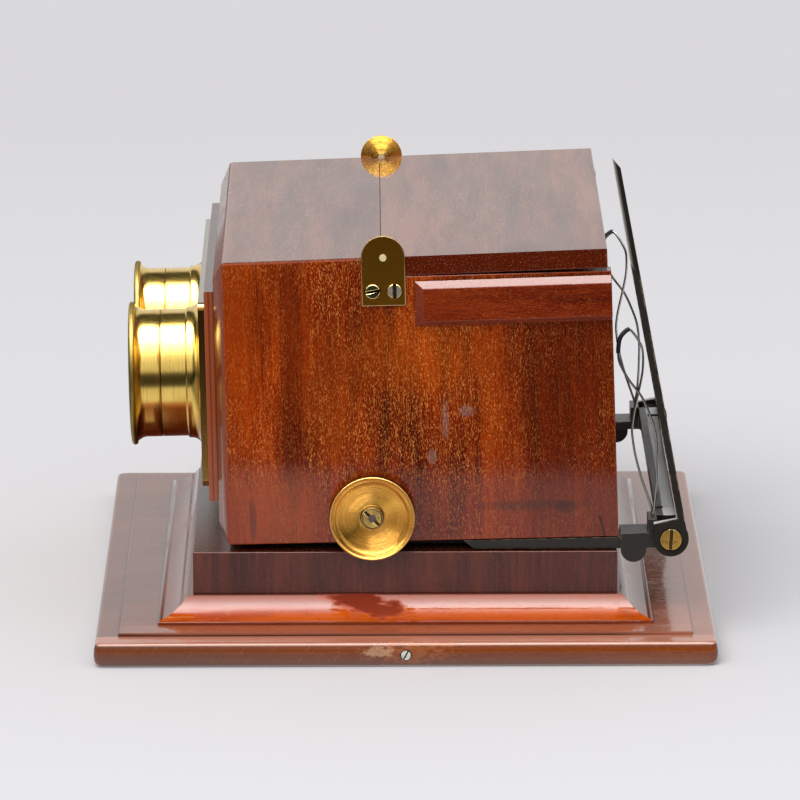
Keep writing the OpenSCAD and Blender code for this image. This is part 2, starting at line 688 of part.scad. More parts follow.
module left_pinion() { color(brass) in_box() pinion_solid(); }
module right_pinion() { color(brass) in_box() right() pinion_solid(); }

// Dished knob with a milled rim
module knob_solid() {
    r = knob_d / 2;
    d = knob_rim * 0.62;
    translate([shaft_u, 0, shaft_v]) rotate([-90, 0, 0]) rotate_extrude($fn = 96) polygon(concat(
        [[shaft_d * 0.28, knob_y], [4.4, knob_y], [4.4, rim_y0 + 0.6], [r - 2, rim_y0], [r - 0.4, rim_y0], [r, rim_y0 + 0.4],
        [r, rim_y1 - 0.5], [r - 0.5, rim_y1], [r - 1.4, rim_y1]],
        [for (i = [0:6]) let (q = i / 6) [r - 1.8 - (r - 1.8 - knob_nut_d / 2 - 0.9) * q, rim_y1 - d * sin(90 * q) * 1.0 - 0.0]],
        [[knob_nut_d / 2 + 0.7, rim_y1 - d + 0.5], [shaft_d * 0.28, rim_y1 - d + 0.5]]));
}
module left_knob() { color(brass) in_box() knob_solid(); }
module right_knob() { color(brass) in_box() right() knob_solid(); }
module knob_nuts() {
    y0 = rim_y1 - knob_rim * 0.62 + 0.5;
    h = knob_rim * 0.36;
    color(brass) in_box() both() translate([shaft_u, y0, shaft_v]) rotate([-90, 0, 0]) difference() {
        cylinder(h = h, r = knob_nut_d / 2);
        translate([0, 0, -1]) cylinder(h = h + 2, r = shaft_d * 0.28);
        rotate([0, 0, 45]) translate([0, 0, h]) cube([knob_nut_d + 1, 1.1, h * 0.9], center = true);
    }
}

// Rack, arm and outer bar in one, with a tongue that runs in the guide
rack_front = shaft_u - travel - 6.5;
rack_end = shaft_u + 6.5;
pitch = PI * gear_m;
rack_k0 = floor((rack_front - shaft_u) / pitch);
rack_k1 = ceil((rack_end - shaft_u) / pitch);
tip_v = pitch_v + rack_add;
root_v = pitch_v - rack_ded;
function tooth_pts(u) = let (a = pitch / 4 - 0.05, s = tan(20))
    [[u - a - rack_ded * s, root_v], [u - a + rack_add * s, tip_v], [u + a - rack_add * s, tip_v], [u + a + rack_ded * s, root_v]];
module arm_solid() {
    u0 = shaft_u + (rack_k0 - 0.5) * pitch;
    low = function(u) over_plinth(u, arm_gap);
    teeth = [for (k = [rack_k0:rack_k1]) each tooth_pts(shaft_u + (k + 0.5) * pitch)];
    slab(concat([[u0, low(u0)], [u0, root_v]], teeth,
        [[rack_end + 3, root_v], [rack_end + 3, -arm_top_gap], [br_u, -arm_top_gap], [br_u, low(br_u)]]), rack_y0, rack_y1);
    // outer bar, its front end cut slanting
    slab([[arm_front, -arm_top_gap], [br_u, -arm_top_gap], [br_u, low(br_u)], [arm_front + 3.6, low(arm_front + 3.6)]],
        half - arm_w, half);
    slab([[arm_front + 7, -arm_top_gap], [br_u, -arm_top_gap], [br_u, low(br_u)], [arm_front + 7, low(arm_front + 7)]],
        rack_y1 - 0.5, half - arm_w + 0.5);
    // tongue
    block(arm_front - 20, br_u - 6, rack_y0 - 1, rack_y0 + 0.5, -1.9, -1.2);
}
module left_arm() { color(black) in_box() arm_solid(); }
module right_arm() { color(black) in_box() right() arm_solid(); }
module arm_guides() {
    color(brass) in_box() both() difference() {
        block(shaft_u + 9, box_len - 8, rack_y0 - 5.3, rack_y0 - 0.3, -2.7, 0);
        block(shaft_u + 8, box_len, rack_y0 - 1.5, rack_y0 + 1, -2.2, -0.9);
    }
}

// ---------- card carrier ----------
module bracket_solid() {
    low = over_plinth(br_u, arm_gap);
    pl = pivot_screw_d * 0.3;
    difference() {
        union() {
            slab([[br_u, low], [br_u, bracket_top], [pivot_u, bracket_top], [pivot_u, -4.2], [br_u + 6, -4.2], [br_u + 6, low]], bracket_y0, bracket_y1);
            translate([lug_u, 0, lug_v]) intersection() {
                pin_y(lug_r, bracket_y0, bracket_y1);
                block(-lug_r - 1, lug_r + 1, 0, half * 2, -lug_r - 1, 1.5);
            }
            translate([pivot_u, 0, pivot_v]) pin_y(5.2, bracket_y0, bracket_y1);
            // flange on the inner face, and the ear that holds the spring
            block(br_u, ear_u0 + 0.5, rack_y0, bracket_y0 + 0.5, -1.8, bracket_top);
            block(ear_u0, ear_u1, half - 11, bracket_y1, -1.8, ear_top);
        }
        translate([pivot_u, 0, pivot_v]) pin_y(pl, bracket_y0 - 1, bracket_y1 + 1);
        // holes for the two ends of the spring
        for (y = [spring_y, spring_y + spring_gap]) translate([wire_u, y, ear_top - wire_hole])
            cylinder(h = wire_hole + 1, r = wire_d / 2 + wire_play);
    }
}
module left_bracket() { color(black) in_box() bracket_solid(); }
module right_bracket() { color(black) in_box() right() bracket_solid(); }

module card_ledge() {
    u1 = ledge_u1;
    color(black) in_box() {
        slab([[ledge_u0, ledge_v0], [u1, ledge_v0], [u1, ledge_v], [ledge_u0 + lip_w, ledge_v], [ledge_u0 + lip_w, ledge_v + lip_h], [ledge_u0, ledge_v + lip_h]],
            -ledge_half, ledge_half);
        both() block(ledge_u0, u1, ledge_half - 0.5, half - 8, ledge_v0, ledge_v + 0.8);
    }
}

// Spring wire: one strand up from the ear, a bend at the top and a second strand down.
// Points: distance behind the box, height above the ear, and share of the way across,
// for a spring of the stated rise.
spring_rise = 66.8;
spring_pts = [
    [10.6, 4.8, 0], [8.2, 12.3, 0], [6.2, 20.3, 0], [5.2, 27.3, 0], [5.1, 31.8, 0], [5.9, 36.8, 0], [7.1, 41.8, 0],
    [8.3, 46.8, 0], [9.2, 51.8, 0], [9.4, 56.8, 0], [9, 59.8, 0.05], [7.8, 62.4, 0.15], [6.3, 64.9, 0.3], [4.5, 66.8, 0.5],
    [2.6, 65.7, 0.7], [1.4, 64.3, 0.85], [0.8, 62.3, 0.95], [0.5, 58.8, 1], [1, 55.1, 1], [3.6, 49.8, 1], [6.4, 45.8, 1],
    [8.6, 42.6, 1], [11.1, 36.8, 1], [13, 30.8, 1], [13.7, 23.8, 1], [13.5, 15.8, 1], [13, 8.8, 1], [12.3, 3.3, 1]];
spring_k = (spring_h - ear_top) / spring_rise;
spring_xyz = concat(
    [for (v = [0.4 - wire_hole, 0.7]) [wire_u, spring_y, ear_top + v]],
    [for (p = spring_pts) [br_u + p[0], spring_y + spring_gap * p[2], ear_top + spring_k * p[1]]],
    [for (v = [0.7, 0.4 - wire_hole]) [wire_u, spring_y + spring_gap, ear_top + v]]);
// Smooth curve through the points, two steps a span
function cr(a, b, c, d, t) = 0.5 * (2 * b + (c - a) * t + (2 * a - 5 * b + 4 * c - d) * t * t + (3 * b - 3 * c + d - a) * t * t * t);
function smooth(p) = let (n = len(p)) [for (i = [0:n - 2]) for (t = [0, 0.5])
    cr(p[max(0, i - 1)], p[i], p[i + 1], p[min(n - 1, i + 2)], t), p[n - 1]];
function unit(v) = v / norm(v);
// Tube of r round a path, six sides
module tube_along(path, r) {
    n = len(path);
    k = 6;
    rings = [for (i = [0:n - 1]) let (t = unit(path[min(n - 1, i + 1)] - path[max(0, i - 1)]),
        a = unit(cross(t, [0, 1, 0])), b = cross(t, a)) for (j = [0:k - 1])
        path[i] + r * (cos(j * 360 / k) * a + sin(j * 360 / k) * b)];
    sides = [for (i = [0:n - 2]) for (j = [0:k - 1]) let (q = (j + 1) % k)
        each [[i * k + j, i * k + q, (i + 1) * k + q], [i * k + j, (i + 1) * k + q, (i + 1) * k + j]]];
    polyhedron(concat(rings, [path[0], path[n - 1]]), concat(sides,
        [for (j = [0:k - 1]) [n * k, (j + 1) % k, j]],
        [for (j = [0:k - 1]) [n * k + 1, (n - 1) * k + j, (n - 1) * k + (j + 1) % k]]));
}
spring_path = smooth(spring_xyz);
module left_spring() { color(steel) in_box() tube_along(spring_path, wire_d / 2); }
module right_spring() { color(steel) in_box() right() tube_along(spring_path, wire_d / 2); }
// Hollow sleeve round a path, with a bore of r0 and an outer radius of r1
module sleeve_along(path, r0, r1) {
    n = len(path);
    k = 6;
    function ring(i, r) = let (t = unit(path[min(n - 1, i + 1)] - path[max(0, i - 1)]),
        a = unit(cross(t, [0, 1, 0])), b = cross(t, a)) [for (j = [0:k - 1])
        path[i] + r * (cos(j * 360 / k) * a + sin(j * 360 / k) * b)];
    // around each station: the outer ring, then the inner ring
    pts = [for (i = [0:n - 1]) each concat(ring(i, r1), ring(i, r0))];
    m = 2 * k;
    faces = concat(
        [for (i = [0:n - 2]) for (j = [0:k - 1]) let (q = (j + 1) % k)
            each [[i * m + j, i * m + q, (i + 1) * m + q], [i * m + j, (i + 1) * m + q, (i + 1) * m + j],
                [i * m + k + q, i * m + k + j, (i + 1) * m + k + j], [i * m + k + q, (i + 1) * m + k + j, (i + 1) * m + k + q]]],
        [for (j = [0:k - 1]) let (q = (j + 1) % k) each [[j, k + j, k + q], [j, k + q, q]]],
        [for (j = [0:k - 1]) let (q = (j + 1) % k, e = (n - 1) * m)
            each [[e + j, e + k + q, e + k + j], [e + j, e + q, e + k + q]]]);
    polyhedron(pts, faces);
}
// Short sleeve on the bend at the top of each spring, from one path point to another
sleeve_from = 30;
sleeve_to = 38;
sleeve_wall = 0.35;
module spring_sleeves() {
    color(black) in_box() both() sleeve_along([for (i = [sleeve_from:sleeve_to]) spring_path[i]], wire_d / 2 + 0.06, wire_d / 2 + sleeve_wall);
}

// Folding frame behind the card: two windows, cheeks round the pivot screws
module card_frame() {
    w = frame_wid / 2;
    d0 = frame_d;
    d1 = frame_d + frame_t;
    s0 = 5.2;
    s1 = frame_len;
    color(black) in_frame() {
        difference() {
            slab([[d0, s0], [d1, s0], [d1, s1 - 4.4], [d0, s1]], -w, w);
            both() block(d0 - 1, d1 + 1, frame_mid / 2, w - frame_rail - 1.5, s0 + frame_rail - 3, s1 - frame_rail);
        }
        both() difference() {
            union() {
                slab([[-cheek_r + 1.2, 0], [cheek_r - 0.3, 0], [d1, s0 + 8], [d0, s0 + 8], [d0, s0 + 1.5], [-cheek_r + 1.2, s0 + 1.5]], cheek_y0, cheek_y1);
                pin_y(cheek_r, cheek_y0, cheek_y1);
            }
            pin_y(pivot_screw_d * 0.3 + 0.05, cheek_y0 - 1, cheek_y1 + 1);
        }
    }
}
// Slotted brass pivot screws, fixed in the brackets
module frame_screws() {
    color(brass) in_box() both() translate([pivot_u, cheek_y1 + 0.05, pivot_v]) rotate([-90, 0, 0])
        screw_head(pivot_screw_d, 1.2, 95, pivot_screw_d * 0.6, cheek_y1 + 0.05 - bracket_y0);
}

base_board();
cove_moulding();
plinth();
edge_screw();
rest_strips();
hinge_leaf_lower();
hinge_pin();
floor_board();
right_side();
left_side();
front_board();
front_panel();
top_board();
septum();
right_batten();
left_batten();
right_pivot_plate();
left_pivot_plate();
plate_screws();
lid_pins();
eyepiece_plate();
right_mount();
left_mount();
right_eye_cup();
left_eye_cup();
right_lens();
left_lens();
lens_rings();
hinge_leaf_upper();
shaft_bushes();
arm_guides();
lid_board();
lid_mirror();
mirror_clips();
lid_ears();
focus_shaft();
right_pinion();
left_pinion();
right_knob();
left_knob();
knob_nuts();
right_arm();
left_arm();
right_bracket();
left_bracket();
card_ledge();
right_spring();
left_spring();
spring_sleeves();
card_frame();
frame_screws();
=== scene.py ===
from math import atan2, cos, degrees, pi, radians, sin, sqrt, tan

import bmesh
import bpy
from mathutils import Matrix, Vector


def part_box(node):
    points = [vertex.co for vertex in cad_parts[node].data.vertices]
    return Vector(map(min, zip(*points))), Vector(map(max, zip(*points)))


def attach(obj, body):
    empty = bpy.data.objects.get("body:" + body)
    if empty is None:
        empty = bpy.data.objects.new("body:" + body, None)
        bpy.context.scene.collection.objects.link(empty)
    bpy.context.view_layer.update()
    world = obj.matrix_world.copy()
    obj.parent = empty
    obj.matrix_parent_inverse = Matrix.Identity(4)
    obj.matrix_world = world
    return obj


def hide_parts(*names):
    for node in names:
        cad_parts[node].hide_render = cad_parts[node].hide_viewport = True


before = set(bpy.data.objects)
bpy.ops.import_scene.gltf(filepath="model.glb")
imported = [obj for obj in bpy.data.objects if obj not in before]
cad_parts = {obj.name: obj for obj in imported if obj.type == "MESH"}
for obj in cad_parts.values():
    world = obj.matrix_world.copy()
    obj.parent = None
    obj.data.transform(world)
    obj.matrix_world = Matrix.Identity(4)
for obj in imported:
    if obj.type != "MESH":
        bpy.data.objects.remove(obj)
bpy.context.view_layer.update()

# Base board
#
# A mahogany board with a bullnosed edge and a field standing a little proud, worked from
# one piece with its grain along the near edge. French polished, and worn to bare wood beside
# the screw. Dark lines are painted in the step round the field and at the foot of the cove,
# for the grime and the painted shade in these creases. The near edge carries a painted
# highlight along its top and a painted reflection of the pale table low down, and the tops
# near the front and at the right end are painted pale pink as a reflection in the polish.

MILLIMETRE = Matrix.Diagonal((0.001, 0.001, 0.001, 1))
ON_THE_TABLE = Matrix.Identity(4)


def rgb(red, green, blue):
    """A colour as given on a chart, 0 to 255, in linear light."""
    def linear(part):
        part /= 255
        return part / 12.92 if part <= 0.04045 else ((part + 0.055) / 1.055) ** 2.4
    return (linear(red), linear(green), linear(blue), 1.0)


def arithmetic(operation, swapped=False):
    """One kind of sum of a value and a number or another value."""
    def work(self, other):
        return self.maths(operation, *((other, self) if swapped else (self, other)))
    return work


class Value:
    """A number that varies over the surface, for use in plain arithmetic."""

    def __init__(self, finish, socket):
        self.finish, self.socket = finish, socket

    def maths(self, operation, *numbers, clamp=False):
        how = {"operation": operation, "use_clamp": clamp}
        return self.finish.node("Math", how, dict(enumerate(numbers)))

    __add__ = __radd__ = arithmetic("ADD")
    __mul__ = __rmul__ = arithmetic("MULTIPLY")
    __sub__, __rsub__ = arithmetic("SUBTRACT"), arithmetic("SUBTRACT", swapped=True)
    __truediv__, __pow__, most = arithmetic("DIVIDE"), arithmetic("POWER"), arithmetic("MAXIMUM")

    def __abs__(self):
        return self.maths("ABSOLUTE", self)

    def over(self, edge, soft):
        """0 below an edge, 1 above it, with a ramp of the given width."""
        return self.maths("MULTIPLY_ADD", self, 1 / soft, 0.5 - edge / soft, clamp=True)

    def under(self, edge, soft):
        return 1 - self.over(edge, soft)

    def within(self, middle, reach, soft):
        """1 near a middle value and 0 beyond its reach."""
        return abs(self - middle).under(reach, soft)


class Finish:
    """A finish for a surface: plain numbers on the shader, and patterns made by one method."""

    def __init__(self, name, **plain):
        self.material = bpy.data.materials.new(name)
        self.material.use_nodes = True
        self.tree = self.material.node_tree
        self.shader = self.tree.nodes["Principled BSDF"]
        for socket, number in plain.items():
            self.shader.inputs[socket.replace("_", " ")].default_value = number

    def node(self, kind, settings, sockets, out=0):
        made = self.tree.nodes.new("ShaderNode" + kind)
        for key, choice in settings.items():
            if key == "stops":
                ramp = made.color_ramp.elements
                while len(ramp) < len(choice):
                    ramp.new(1.0)
                for stop, (at, colour) in zip(ramp, choice):
                    stop.position, stop.color = at, colour
            else:
                setattr(made, key, choice)
        for key, given in sockets.items():
            if isinstance(given, Value):
                self.tree.links.new(given.socket, made.inputs[key])
            else:
                made.inputs[key].default_value = given
        return Value(self, made.outputs[out])

    def feed(self, socket, value):
        self.tree.links.new(value.socket, self.shader.inputs[socket])

    def add(self, first, second):
        return self.node("VectorMath", {"operation": "ADD"}, {0: first, 1: second})

    def join(self, x=0.0, y=0.0, z=0.0):
        return self.node("CombineXYZ", {}, {0: x, 1: y, 2: z})

    def parts(self, vector):
        made = self.tree.nodes.new("ShaderNodeSeparateXYZ")
        self.tree.links.new(vector.socket, made.inputs[0])
        return [Value(self, socket) for socket in made.outputs]

    def facing(self):
        """The way the surface faces, along the object's own axes."""
        return self.node("TexCoord", {}, {}, out=1)

    def place(self, board=ON_THE_TABLE, shift=(0, 0, 0)):
        """Distances in millimetres along a board's own length, width and height."""
        spot, turn, _ = board.decompose()
        own = self.node("Mapping", {"vector_type": "TEXTURE"}, {
            "Vector": self.node("TexCoord", {}, {}, out=3), "Location": tuple(c * 0.001 for c in spot),
            "Rotation": tuple(turn.to_euler()), "Scale": (0.001, 0.001, 0.001)})
        return self.add(own, shift) if any(shift) else own

    def noise(self, vector, per_mm, detail=2.0, rough=0.5, bend=0.0):
        """Cloudy variation about 0; per_mm says how closely it repeats, all ways or along each axis."""
        per_mm = (per_mm,) * 3 if isinstance(per_mm, float) else per_mm
        spread = self.node("VectorMath", {"operation": "MULTIPLY"}, {0: vector, 1: per_mm})
        return self.node("TexNoise", {}, {
            "Vector": spread, "Scale": 1.0, "Detail": detail, "Roughness": rough, "Distortion": bend}) - 0.5

    def mix(self, share, first, second):
        how = {"data_type": "RGBA", "clamp_factor": True}
        return self.node("Mix", how, {0: share, 6: first, 7: second}, out=2)

    def stain(self, *layers):
        """Lay colours over parts of what is there: a share and a colour, as many times as given."""
        for share, colour in zip(layers[::2], layers[1::2]):
            self.colour = self.mix(share, self.colour, rgb(*colour))

    def worn(self):
        """1 on the rounded edges of a piece, 0 elsewhere."""
        return self.node("Attribute", {"attribute_name": "worn"}, {}, out=2)

    def relief(self, height, depth):
        """Raise the surface by a height from 0 to 1 times a depth in millimetres."""
        bump = {"Strength": 1.0, "Distance": depth * 0.001, "Height": height}
        self.feed("Normal", self.node("Bump", {}, bump))


def along(grain, run, across):
    """Per-axis closeness of a pattern that runs along one axis of a board."""
    return tuple(run if axis == grain else across for axis in range(3))


def ellipse(x, y, spot, reach, soft=0.9):
    """1 inside an ellipse on the surface and 0 outside it."""
    return (((x - spot[0]) / reach[0]) ** 2 + ((y - spot[1]) / reach[1]) ** 2).under(1.0, soft * 2)


class Mahogany(Finish):
    """Polished mahogany: broad figure, streaks and fibres along the grain, golden flecks and dark pores."""

    def __init__(self, name, board=ON_THE_TABLE, grain=2, shift=(0, 0, 0),
                 tones=((66, 15, 1), (119, 33, 1), (162, 57, 2)), fleck=(224, 142, 66), flecks=0.8,
                 contrast=1.0, gloss=0.07, ends=(52, 17, 6), polish=1.5):
        super().__init__(name, IOR=polish)
        self.spot = self.place(board, shift)
        self.x, self.y, self.z = self.parts(self.place(board))
        bend = self.noise(self.spot, along(grain, 0.01, 0.03), 2.0) * 9.0
        swayed = self.add(self.spot, self.join(*(0.0 if axis == grain else bend for axis in range(3))))

        def fibres(run, across, *more, on=swayed):
            return self.noise(on, along(grain, run, across), *more)

        tone = (fibres(0.006, 0.034, 2.0, 0.55, 0.5) * 1.5 + fibres(0.012, 0.2, 3.0, 0.6)
                + fibres(0.05, 1.7, 2.0, 0.6) * 0.8 + fibres(0.9, 1.9, 2.0, 0.6, on=self.spot) * 0.6)
        deep, body, self.light = (rgb(*tone) for tone in tones)
        self.colour = self.node("ValToRGB", {"stops": ((0.18, deep), (0.52, body), (0.86, self.light))},
                                {0: 0.5 + tone * contrast})
        zone = fibres(0.025, 0.07, 2.0, on=self.spot).over(-0.03, 0.2) * 0.45 + 0.35
        string = fibres(0.03, 0.5, 1.0).over(0.0, 0.2) * 0.3
        thread = fibres(0.2, 3.0, 2.0).over(0.14, 0.07) * zone * 0.75
        self.dash = (fibres(0.95, 3.7, 3.0, 0.5).over(0.1, 0.09) * (zone + string)).most(thread)
        pore = fibres(0.26, 2.0, 1.0, on=self.add(swayed, (31.0, 17.0, 23.0))).over(0.15, 0.08)
        self.stain(self.dash * flecks, fleck, pore * 0.4, tones[0])
        grit = self.noise(self.spot, 1.9, 2.0, 0.7)
        end_grain = self.mix(grit.over(0.05, 0.2) * 0.7, rgb(*ends), rgb(*(part * 1.7 for part in ends)))
        self.end_grain = self.mix(grit.over(0.14, 0.05) * 0.5, end_grain, rgb(*fleck))
        self.end = abs(self.parts(self.facing())[grain]).over(0.8, 0.1)
        self.dull = gloss + abs(self.noise(self.spot, 0.05, 3.0)) * 0.08 + pore * 0.04
        self.height = 0.5 + fibres(0.02, 0.06, 1.0, on=self.spot) * 0.8 - pore * 0.12 - self.dash * 0.06

    def done(self, rub=0.45, depth=0.09):
        """Lighten the rubbed edges and hand the patterns to the shader."""
        rubbed = self.worn() * (self.noise(self.spot, 0.25, 3.0).over(-0.06, 0.2) * rub)
        self.feed("Base Color", self.mix(rubbed, self.mix(self.end, self.colour, self.end_grain), self.light))
        self.feed("Roughness", self.dull + rubbed * 0.2)
        self.relief(self.height, depth)
        return self


def ease(bm, radius, edges=None, where=None, steps=3, turn=25):
    """Round the outer edges over by a radius, and mark the rounded faces as rubbed."""
    rubbed = bm.faces.layers.float.get("worn") or bm.faces.layers.float.new("worn")
    if edges is None:
        bm.normal_update()
        edges = [edge for edge in bm.edges if len(edge.link_faces) == 2 and edge.is_convex
                 and edge.calc_face_angle(0) > radians(turn) and edge.calc_length() > radius * 2
                 and (where is None or where(edge.verts[0].co, edge.verts[1].co))]
    made = bmesh.ops.bevel(bm, geom=edges, offset=radius, offset_type="OFFSET", segments=steps, profile=0.5,
                           affect="EDGES", material=-1, clamp_overlap=False)
    for face in made["faces"]:
        face[rubbed] = 1.0


def piece(name, bm, board, finishes, body, node, turn=32, flats=True):
    """Set a shape in its place in metres, give it its finish and its body, and hide the solid it stands for.
    """
    bmesh.ops.transform(bm, matrix=MILLIMETRE @ board, verts=bm.verts)
    bmesh.ops.remove_doubles(bm, verts=bm.verts, dist=1e-6)
    bmesh.ops.recalc_face_normals(bm, faces=bm.faces)
    mesh = bpy.data.meshes.new(name)
    bm.to_mesh(mesh)
    bm.free()
    mesh.shade_smooth()
    mesh.set_sharp_from_angle(angle=radians(turn))
    for finish in finishes:
        mesh.materials.append(finish.material)
    made = bpy.data.objects.new(name, mesh)
    bpy.context.scene.collection.objects.link(made)
    if flats:
        made.modifiers.new("flats", "WEIGHTED_NORMAL").keep_sharp = True
    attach(made, body)
    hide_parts(node)


base_len, base_wid, base_thick = 218.6, 271.2, 8.7
field_rise, field_end, field_side = 1.1, 8.5, 11.5
cove_foot_x, cove_foot_y = 87.4, 111.9
screw_z, seat_r, seat_y = 4.35, 1.8, -134.9

base_wood = Mahogany("base mahogany", grain=0, shift=(40, 7, 0), flecks=0.12, contrast=0.5,
                     tones=((74, 26, 10), (124, 54, 18), (158, 80, 28)), ends=(70, 32, 22))
x, y, z = base_wood.x, base_wood.y, base_wood.z
left, near, beside = 0 - x, 0 - y, abs(y)
ripple = base_wood.noise(base_wood.join(x + z * 0.8 + y * 0.5, y * 0.06, z * 0.06), (2.3, 1.0, 1.0), 3.0, 0.7)
scratch = base_wood.noise(base_wood.join(x - z * 0.7, y * 0.1, z * 0.12), (1.5, 1.0, 1.0), 4.0, 0.8)
ragged = base_wood.noise(base_wood.spot, (0.28, 0.28, 0.7), 5.0, 0.7)
field_step = (abs(x) - (base_len / 2 - field_end)).most(beside - (base_wid / 2 - field_side))
cove_foot = (abs(x) - cove_foot_x).most(beside - cove_foot_y)
nose = near.over(132.6, 1.0)
bare = (ellipse(x, z, (1.5, 5.4), (20.0, 5.2)) * nose * 0.7 + ragged * 2.2).over(0.62, 0.3) * nose
chalky = (ellipse(x, z, (-9.5, 5.6), (7.0, 2.6)) + ragged * 1.6).over(0.8, 0.2) * nose
# painted reflection: the field's near edge, the flat behind the nose and the right end of the top are painted
# pale pink for the room mirrored in the polish
field_edge_reflection = (beside - 112).over(1.2, 1.0) * z.over(base_thick + 0.4, 0.2) * near.over(0, 1)
margin_reflection = near.over(124.6, 1.2) * z.under(base_thick + 0.3, 0.2) * z.over(8.2, 0.2)
base_wood.stain(
    ripple.over(0.1, 0.14) * 0.22, (178, 98, 48),
    (0 - ripple).over(0.1, 0.14) * 0.28, (70, 24, 10),
    left.over(70, 70) * 0.3, (84, 38, 22),
    # painted reflection: the lower part of the near edge is painted grey-pink for the pale table it mirrors
    near.over(123.5, 1.0) * z.under(3.4, 3.0) * 0.4, (134, 108, 98),
    # painted shade with grime: dark lines in the step round the field and at the foot of the cove
    field_step.within(0.2, 0.35, 0.3) * 0.85, (40, 16, 10),
    cove_foot.within(0, 0.4, 0.5) * 0.75, (36, 14, 9),
    bare * 0.5, (190, 116, 60),
    nose * z.under(7.8, 0.6) * 0.3, (88, 34, 16),
    nose * z.within(6.2, 0.9, 1.6) * 0.3, (168, 84, 12),
    # painted highlight: a pale line along the top of the near edge
    nose * z.within(8.1, 0.25, 0.5) * 0.55, (248, 196, 172),
    scratch.over(0.13, 0.08) * nose * left.over(10, 30) * 0.4, (196, 128, 92),
    nose * left.over(30, 90) * 0.3, (92, 62, 50),
    ((x ** 2 + (z - screw_z) ** 2) ** 0.5).under(2.05, 0.2) * nose * 0.85, (34, 16, 10),
    chalky * 0.45, (206, 170, 136),
    ellipse(x, y, (93.5, -86.0), (4.0, 9.0), 0.6) * 0.5, (150, 44, 20),
    # painted reflection: pale pink on the near field edge, the flat behind the nose and the right end of the
    # top
    field_edge_reflection * 0.35 * x.over(-98, 26), (206, 128, 100),
    margin_reflection * 0.65, (222, 152, 126),
    x.over(84, 24) * z.over(8.2, 0.3) * 0.5, (192, 128, 104))
base_wood.dull = base_wood.dull + bare * 0.35
base_wood.done(rub=0.3)


def nosing(share):
    """How far out and up the moulded edge has come after a share of its turn, from foot, -1, to top, 1."""
    slow, tight, flat = (radians(16), 1.7, 11.3) if share > 0 else (radians(8), 2.9, 13.3)
    bend = min(abs(share) / 0.3, 1) * slow
    out, up = base_thick / 2 - flat * (1 - cos(bend)), flat * sin(bend)
    if abs(share) > 0.3:
        bend = slow + (pi / 2 - slow) * (abs(share) - 0.3) / 0.7
        out -= tight * (cos(slow) - cos(bend))
        up += tight * (sin(bend) - sin(slow))
    return out, up if share > 0 else -up


half_thick = base_thick / 2
core_x, core_y = base_len / 2 - half_thick, base_wid / 2 - half_thick
bm = bmesh.new()
bmesh.ops.create_cube(bm, size=1, matrix=Matrix.Translation((0, 0, half_thick))
                      @ Matrix.Diagonal((base_len, base_wid, base_thick, 1)))
bmesh.ops.bevel(bm, geom=bm.edges[:], offset=half_thick - 0.01, offset_type="OFFSET", segments=10,
                profile=0.5, affect="EDGES", material=-1, clamp_overlap=False)
for vert in bm.verts:
    core = Vector((min(max(vert.co.x, -core_x), core_x), min(max(vert.co.y, -core_y), core_y), half_thick))
    reach = vert.co - core
    level = Vector(reach.xy).length
    if level > 0.02:
        out, up = nosing(atan2(reach.z, level) / (pi / 2))
        way_x, way_y = reach.x / level, reach.y / level
        out /= (abs(way_x) ** 3 + abs(way_y) ** 3) ** (1 / 3)
        vert.co = core + Vector((way_x * out, way_y * out, up))
field = [max(bm.faces, key=lambda face: face.calc_center_median().z + face.calc_area() * 1e-3)]
bmesh.ops.inset_region(bm, faces=field, thickness=field_end - half_thick, use_even_offset=True)
for vert in field[0].verts:
    vert.co.y -= (field_side - field_end) * (1 if vert.co.y > 0 else -1)
raised = bmesh.ops.extrude_face_region(bm, geom=field)["geom"]
bmesh.ops.delete(bm, geom=field, context="FACES_ONLY")
corners = [part for part in raised if isinstance(part, bmesh.types.BMVert)]
bmesh.ops.translate(bm, verts=corners, vec=(0, 0, field_rise))
rim = [edge for edge in bm.edges if min(vert.co.z for vert in edge.verts) > base_thick + 0.5]
ease(bm, 0.35, edges=rim, steps=2)

# the round seat of the screw, sunk in a close grid of faces
patch = 2.2
for off in (-patch, patch, -1.75, -1.4, -0.9, 0, 0.9, 1.4, 1.75):
    for spot, way in (((off, 0, 0), (1, 0, 0)), ((0, 0, screw_z + off), (0, 0, 1))):
        faces = [face for face in bm.faces if face.calc_center_median().y < -134 and (
            abs(off) == patch and way[0] or abs(face.calc_center_median().x) < patch)]
        edges = {edge for face in faces for edge in face.edges}
        verts = {vert for face in faces for vert in face.verts}
        bmesh.ops.bisect_plane(bm, geom=[*verts, *edges, *faces], dist=1e-4, plane_co=spot, plane_no=way)
for vert in bm.verts:
    if vert.co.y < seat_y and Vector((vert.co.x, vert.co.z - screw_z)).length < seat_r:
        vert.co.y = seat_y
piece("base_board_moulded", bm, ON_THE_TABLE, [base_wood], "base", "base_board")

# Screw in the edge
#
# A small slotted steel screw in the middle of the near edge, dulled and a little rusty.


def whole(node, board):
    """A copy of a solid with its triangles joined into whole faces, in millimetres on its own board."""
    bm = bmesh.new()
    bm.from_mesh(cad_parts[node].data)
    bmesh.ops.transform(bm, matrix=(MILLIMETRE @ board).inverted(), verts=bm.verts)
    bmesh.ops.remove_doubles(bm, verts=bm.verts, dist=0.003)
    bmesh.ops.dissolve_limit(bm, angle_limit=radians(0.6), verts=bm.verts, edges=bm.edges)
    return bm


def eased(name, node, board, finish, body, radius, where=None, steps=3, turn=25, sharp=32):
    """A piece made of a copy of a solid, with its outer edges rounded over."""
    bm = whole(node, board)
    ease(bm, radius, where=where, steps=steps, turn=turn)
    piece(name, bm, board, [finish], body, node, turn=sharp)


